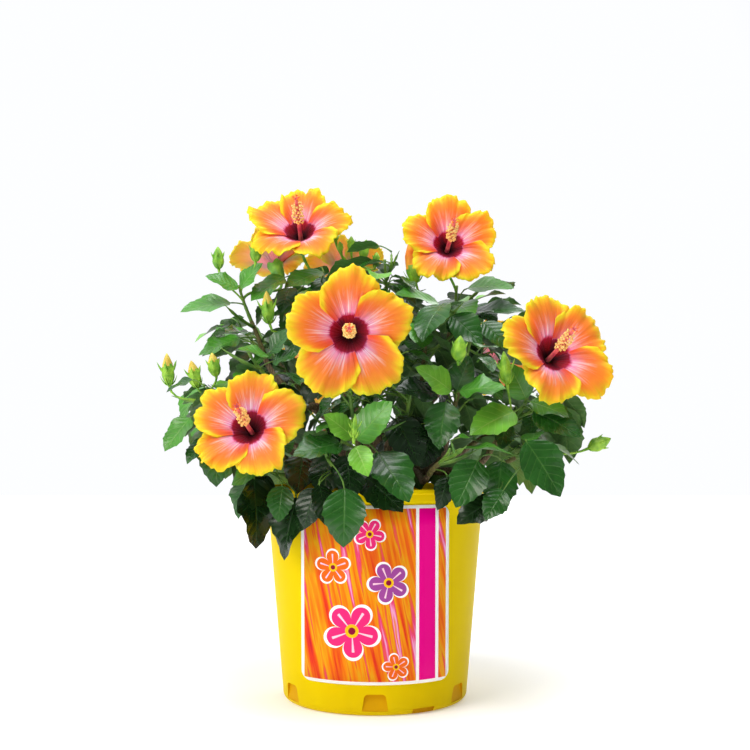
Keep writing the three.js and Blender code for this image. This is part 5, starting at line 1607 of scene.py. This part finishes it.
easeApart()
buildLimbs(barkFinish("thinGreyBark", ("#3d3021", "#6d5c45", "#a08f72"), 0.82))
buildTwigs(
    barkFinish("youngBrownBark", ("#3a3a1c", "#5f5a30", "#8b8550"), 0.7),
    softFinish("greenStem", ("#3f6b22", "#6d9238"), 0.5, 60.0),
)
print("limbs and twigs made")
leafFinishes = [
    leafCuticle("oldLeaf", "#102b0d", "#2c5220", 0.26, 0.45),
    leafCuticle("fullLeaf", "#225418", "#4d7d33", 0.26, 0.45),
    leafCuticle("freshLeaf", "#448724", "#7dae4a", 0.31, 0.36),
    leafCuticle("youngLeaf", "#6eb034", "#a6ca60", 0.36, 0.3),
    leafCuticle("leafUnderside", "#4c753b", "#7ea060", 0.55, 0.25),
]
for number, shoot in enumerate(shoots):
    buildLeaves(shoot, number, leafFinishes)
print("leaves made")

# Blooms

petalLook = {
    # half of a petal's spread is in degrees, and its thickness in millimetres; the rest are shares
    "half": 51, "across": 56, "along": 16, "throat": 0.05, "thick": 0.5, "lift": 0.034, "ruffle": 0.06,
    "lobe": (0.53, 0.47), "eye": 0.29, "tuck": 0.11, "uneven": 0.035, "scallop": 0.028,
    "pleat": 0.006, "reflex": 0.5,
    # waves of the edge: how many, which of the petal's moods sets them off, and how tall
    "frill": ((7, 0, 1), (16, 1, 0.6), (33, 2, 0.5), (58, 0, 0.35)),
}


def petalPoint(flower, petal, s, w, mood):
    # s runs from the throat to the edge, and w from one side of the petal to the other
    offset = math.radians(petalLook["half"]) * w
    middle, lobe = petalLook["lobe"]
    reach = middle * math.cos(offset) + math.sqrt(max(0, lobe ** 2 - (middle * math.sin(offset)) ** 2))
    frill = sum(tall * math.sin(pace * w + mood[which]) for pace, which, tall in petalLook["frill"])
    uneven = petalLook["uneven"] * math.sin(5 * mood[0])
    reach *= 1 + petalLook["scallop"] * (frill * (1 - 0.4 * abs(w)) - 0.5) + uneven
    out = mix(petalLook["throat"], reach, s)
    wave = math.sin(5.5 * w + mood[1]) + 0.8 * math.sin(12 * w + mood[2]) * s
    wave += (0.5 * math.sin(27 * w + mood[0]) + 0.3 * math.sin(45 * w + mood[1])) * s ** 4
    # the low flank lies under the next petal, and both flanks ruffle less than the middle
    tuck = max(0, -w - 0.1) / 0.9
    calm = max(0.85 * tuck, 0.7 * max(0, w - 0.25) / 0.75)
    height = float(petalRise(out)) + petalLook["lift"] * w * out + mood[3] * out * out * (1 - w * w)
    height -= petalLook["tuck"] * tuck * out
    height += petalLook["ruffle"] * s ** 3 * wave * (1 - calm) - petalLook["reflex"] * max(0, out - 0.7) ** 2
    height += petalLook["pleat"] * math.sin(26 * w) * math.sin(math.pi * min(1, s * 1.1))
    angle = math.radians(flower["spin"] + 360 / bloom["petals"] * petal + mood[4]) + offset
    eye = petalLook["eye"]
    zone = (out - eye) / (reach - eye) if out > eye else out / eye - 1
    flat = out * math.cos(angle) * flower["right"] + out * math.sin(angle) * flower["up"]
    return zone, flower["base"] + flower["radius"] * (flat + height * flower["facing"])


def buildPetals(flower, number, finishes):
    rnd = seeded(613 * (number + 1))
    bm = bmesh.new()
    petalMap = bm.loops.layers.uv.new("petal")
    for petal in range(bloom["petals"]):
        mood = [6.28 * rnd(), 6.28 * rnd(), 6.28 * rnd(), 0.16 * (rnd() - 0.4), 9 * (rnd() - 0.5)]
        grid = bmesh.ops.create_grid(
            bm, x_segments=petalLook["across"], y_segments=petalLook["along"], size=0.5,
        )
        placed = {}
        for v in grid["verts"]:
            across = petal + v.co.x + 0.5
            zone, spot = petalPoint(flower, petal, v.co.y + 0.5, v.co.x * 2, mood)
            placed[v] = (min(petal + 0.999, max(petal + 0.001, across)), zone)
            v.co = spot * mm
        for face in {face for v in grid["verts"] for face in v.link_faces}:
            for loop in face.loops:
                loop[petalMap].uv = placed[loop.vert]
    bmesh.ops.reverse_faces(bm, faces=bm.faces)
    name = "petals_" + flower["name"]
    piece = objectFromBmesh(bm, name, finishes)
    piece.data.shade_smooth()
    wall = piece.modifiers.new("petalWall", "SOLIDIFY")
    wall.thickness, wall.offset, wall.material_offset = petalLook["thick"] * mm, -1, 1
    finishPiece(piece, "petals", "bloom_" + flower["name"])


heartLook = {
    "anthers": 64, "anther": 1.4, "filament": (2.4, 5.4), "from": 0.46, "to": 0.88, "pads": 5,
    "bracts": 7, "bract": 12,
    # heights and radii of the calyx, from its foot to its lobes
    "calyx": [(-1, 1.8), (0, 3.4), (3, 5.4), (7, 6.6), (11, 7.0), (15, 7.4), (18.5, 8.2), (21.5, 9.4)],
}


def around(right, upward, angle):
    return right * math.cos(angle) + upward * math.sin(angle)


def addBracts(pile, foot, facing, right, upward, reach, count, width, slot):
    # narrow bracts that leave the foot of a calyx and bend outwards
    for k in range(count):
        out = around(right, upward, 2 * math.pi * (k + 0.3) / count)
        tip = foot + facing * reach * 0.75 + out * reach * 0.62
        curve = raised(foot + out * 1.2, foot + out * reach * 0.42 + facing * reach * 0.12, tip)
        radii = np.array([0.8, 1.0, 0.9, 0.6, 0.12]) * width
        pileUp(pile, *tube(curvePoint(curve, np.linspace(0, 1, 5)), radii, 5), slot)


def lobedCup(foot, facing, right, upward, rows, sides, lobes, lobeReach):
    # rings of a calyx whose last rows rise into pointed lobes; rows holds heights and radii
    rings = []
    for i, (height, radius) in enumerate(rows):
        share = max(0, i - len(rows) + 4) / 3
        for k in range(sides):
            angle = 2 * math.pi * k / sides
            point = abs(math.cos(lobes * angle / 2)) ** 1.5 - 0.35
            out = around(right, upward, angle)
            rings.append(foot + out * radius + facing * (height + share * lobeReach * point))
    return np.array(rings), ringFaces(len(rows), sides) + [tuple(range(sides - 1, -1, -1))]


def addBall(pile, centre, way, radius, stretch, slot):
    # a small rounded grain, six points to its belt
    side = unit(np.cross(way, arr(0.2, 0.5, 0.84)))
    third = np.cross(way, side)
    points = [centre - way * radius * stretch, centre + way * radius * stretch]
    points += [centre + radius * around(side, third, math.pi * k / 3) for k in range(6)]
    faces = [(0, 2 + (k + 1) % 6, 2 + k) for k in range(6)] + [(1, 2 + k, 2 + (k + 1) % 6) for k in range(6)]
    pileUp(pile, np.array(points), faces, slot)


def buildHeart(flower, number, finishes):
    # stalk, calyx and bracts behind the petals, and the column with its anthers in front
    green, tubeRed, yellow, padRed = range(4)
    rnd = seeded(271 * (number + 1))
    pile = newPile()
    facing, right, upward = flower["facing"], flower["right"], flower["up"]
    base, foot = flower["base"], flower["foot"]
    shares = np.linspace(0, 1, 16)
    stalk = 1.5 + 0.5 * np.exp(-((shares - 0.78) / 0.04) ** 2) + 0.6 * np.maximum(0, shares - 0.9) * 10
    pileUp(pile, *tube(curvePoint(flower["stalk"], shares), stalk, 8), green)
    size = flower["radius"] / 60
    pileUp(pile, *lobedCup(foot, facing, right, upward, heartLook["calyx"], 40, 5, 5.5 * size), green)
    addBracts(pile, foot, facing, right, upward, heartLook["bract"] * size, heartLook["bracts"], 1.1, green)
    length = bloom["column"] * size
    sag = upward * 0.07 * length
    shares = np.linspace(0, 1, 14)
    spine = base + facing * (length * shares)[:, None] + sag * (shares ** 2)[:, None]
    pileUp(pile, *tube(spine, mix(2.5, 1.5, shares), 10), tubeRed)
    for k in range(heartLook["anthers"]):
        step = k / heartLook["anthers"]
        share = mix(heartLook["from"], heartLook["to"], step)
        angle = math.radians(goldenTurn * k)
        start = base + facing * length * share + sag * share ** 2
        out = around(right, upward, angle)
        reach = mix(*heartLook["filament"], rnd()) * mix(0.7, 1, math.sin(math.pi * step))
        end = start + out * (reach + 1) + facing * mix(0.5, 2.2, rnd())
        pileUp(pile, *tube(np.array([start, mix(start, end, 0.5), end]), [0.32, 0.26, 0.22], 3), yellow)
        grain = heartLook["anther"] * mix(0.8, 1.15, rnd())
        addBall(pile, end, unit(np.cross(out, facing)), grain, 1.3, yellow)
    for k in range(heartLook["pads"]):
        out = around(right, upward, 2 * math.pi * (k + 0.2) / heartLook["pads"])
        start = base + facing * length * 0.97 + sag
        end = start + out * 3.4 + facing * 3.6
        curve = raised(start, start + facing * 3.2 + out * 0.6, end)
        pileUp(pile, *tube(curvePoint(curve, np.linspace(0, 1, 4)), [0.6, 0.5, 0.45, 0.5], 5), tubeRed)
        addBall(pile, end, out, 1.35, 0.8, padRed)
    mesh = meshFromPile(pile, "heart_" + flower["name"], finishes)
    finishPiece(objectFrom(mesh, "heart_" + flower["name"]), "petals")


budLook = {
    "sides": 20, "rows": 13,
    # where the calyx ends along a bud, and how far the petals in it are twisted
    "open": {"closed": (0.92, 0.6), "showing": (0.55, 1.6), "furled": (0.26, 4.0)},
    "belly": ((0, 0.12, 0.3, 0.66, 0.88, 1), (0.3, 0.72, 1, 0.8, 0.42, 0.08)),
    "rib": 0.09, "lobe": 0.14,
    "bracts": 6, "bract": 0.42, "tips": 5, "tip": 0.52, "tipsFrom": 0.36,
}


def buildBuds(finishes):
    # green calyces with ribs and bracts; some show a twist of petal, and one bloom has furled again
    green, fresh, spent = range(3)
    pile = newPile()
    sides, rows = budLook["sides"], budLook["rows"]
    for bud in buds:
        lean, foot, length = bud["lean"], bud["foot"], bud["length"]
        right = unit(np.cross(lean, arr(0.1, 1, 0.05)))
        upward = np.cross(lean, right)
        cut, twist = budLook["open"][bud["look"]]
        pileUp(pile, *tube(evenPoints(bud["stalk"], 9), [budStalkRadius] * 8 + [1.3, 1.8], 6), green)
        points = []
        for i in range(rows):
            t = i / (rows - 1)
            belly = np.interp(t, *budLook["belly"]) * bud["radius"]
            for k in range(sides):
                angle = 2 * math.pi * k / sides
                wave = math.cos(5 * angle - twist * t * 2.2)
                rib = 1 + budLook["rib"] * wave * math.sin(math.pi * min(1, t + 0.1))
                points.append(foot + lean * length * t + around(right, upward, angle) * belly * rib)
        skins = {green: [], fresh: [], spent: []}
        for number, face in enumerate(ringFaces(rows, sides)):
            i, k = divmod(number, sides)
            lobe = budLook["lobe"] * abs(math.cos(2.5 * 2 * math.pi * (k + 0.5) / sides))
            inner = (i + 0.5) / (rows - 1) > cut + lobe
            skin = green if not inner else spent if bud["look"] == "furled" else fresh
            skins[skin].append(face)
        skins[green].append(tuple(range(sides - 1, -1, -1)))
        skins[max(s for s in skins if skins[s])].append(tuple((rows - 1) * sides + k for k in range(sides)))
        slots = [skin for skin in skins for face in skins[skin]]
        pileUp(pile, np.array(points), skins[green] + skins[fresh] + skins[spent], slots)
        addBracts(pile, foot, lean, right, upward, length * budLook["bract"], budLook["bracts"], 0.8, green)
        if bud["look"] != "furled":
            # free tips of the calyx lobes
            girdle = foot + lean * length * budLook["tipsFrom"]
            reach, width = length * budLook["tip"], 0.25 * bud["radius"]
            addBracts(pile, girdle, lean, right, upward, reach, budLook["tips"], width, green)
    finishPiece(objectFrom(meshFromPile(pile, "buds", finishes), "buds"), "petals")


# colours from the throat to the rim: a maroon eye, painted near black towards the throat as the shade deep
# in the flower, then pink, orange and a yellow rim
petalZones = [
    (0.0, "#120006"), (0.22, "#34040f"), (0.38, "#620b1e"), (0.485, "#8c1530"), (0.505, "#c64a7a"),
    (0.535, "#ee8db4"), (0.60, "#f48c92"), (0.67, "#f67a52"), (0.76, "#f67830"), (0.86, "#f68a2a"),
    (0.92, "#f4a624"), (0.965, "#f2be20"), (1.0, "#efcc28"),
]
# the backs are paler than the faces, and are made paler still to paint the light that shines through the
# thin petals
backZones = [
    (0.0, "#c46a7e"), (0.5, "#f6a0b0"), (0.62, "#fbb492"), (0.78, "#fcc070"), (0.9, "#fdd258"),
    (1.0, "#fce260"),
]
petalFinishes = [
    petalTissue("petalFace", petalZones, 0.9, 0.85),
    petalTissue("petalBack", backZones, 0.3, 0.0),
]
heartFinishes = [
    softFinish("calyxGreen", ("#4c8a26", "#7cb43c"), 0.5, 120.0),
    softFinish("columnRed", ("#c8405a", "#e9736c"), 0.45, 160.0),
    softFinish("pollenYellow", ("#f2bb58", "#fbdc94"), 0.8, 600.0),
    softFinish("stigmaOrange", ("#f0561a", "#f98430"), 0.6, 400.0),
]
for number, flower in enumerate(blooms):
    buildPetals(flower, number, petalFinishes)
    buildHeart(flower, number, heartFinishes)
buildBuds([
    softFinish("budGreen", ("#5f9a28", "#9cc93e"), 0.5, 120.0),
    softFinish("budPetal", ("#c2a43a", "#e6d45c"), 0.55, 90.0),
    softFinish("spentPetal", ("#e0641c", "#f7a52c"), 0.6, 70.0),
])
print("blooms and buds made")
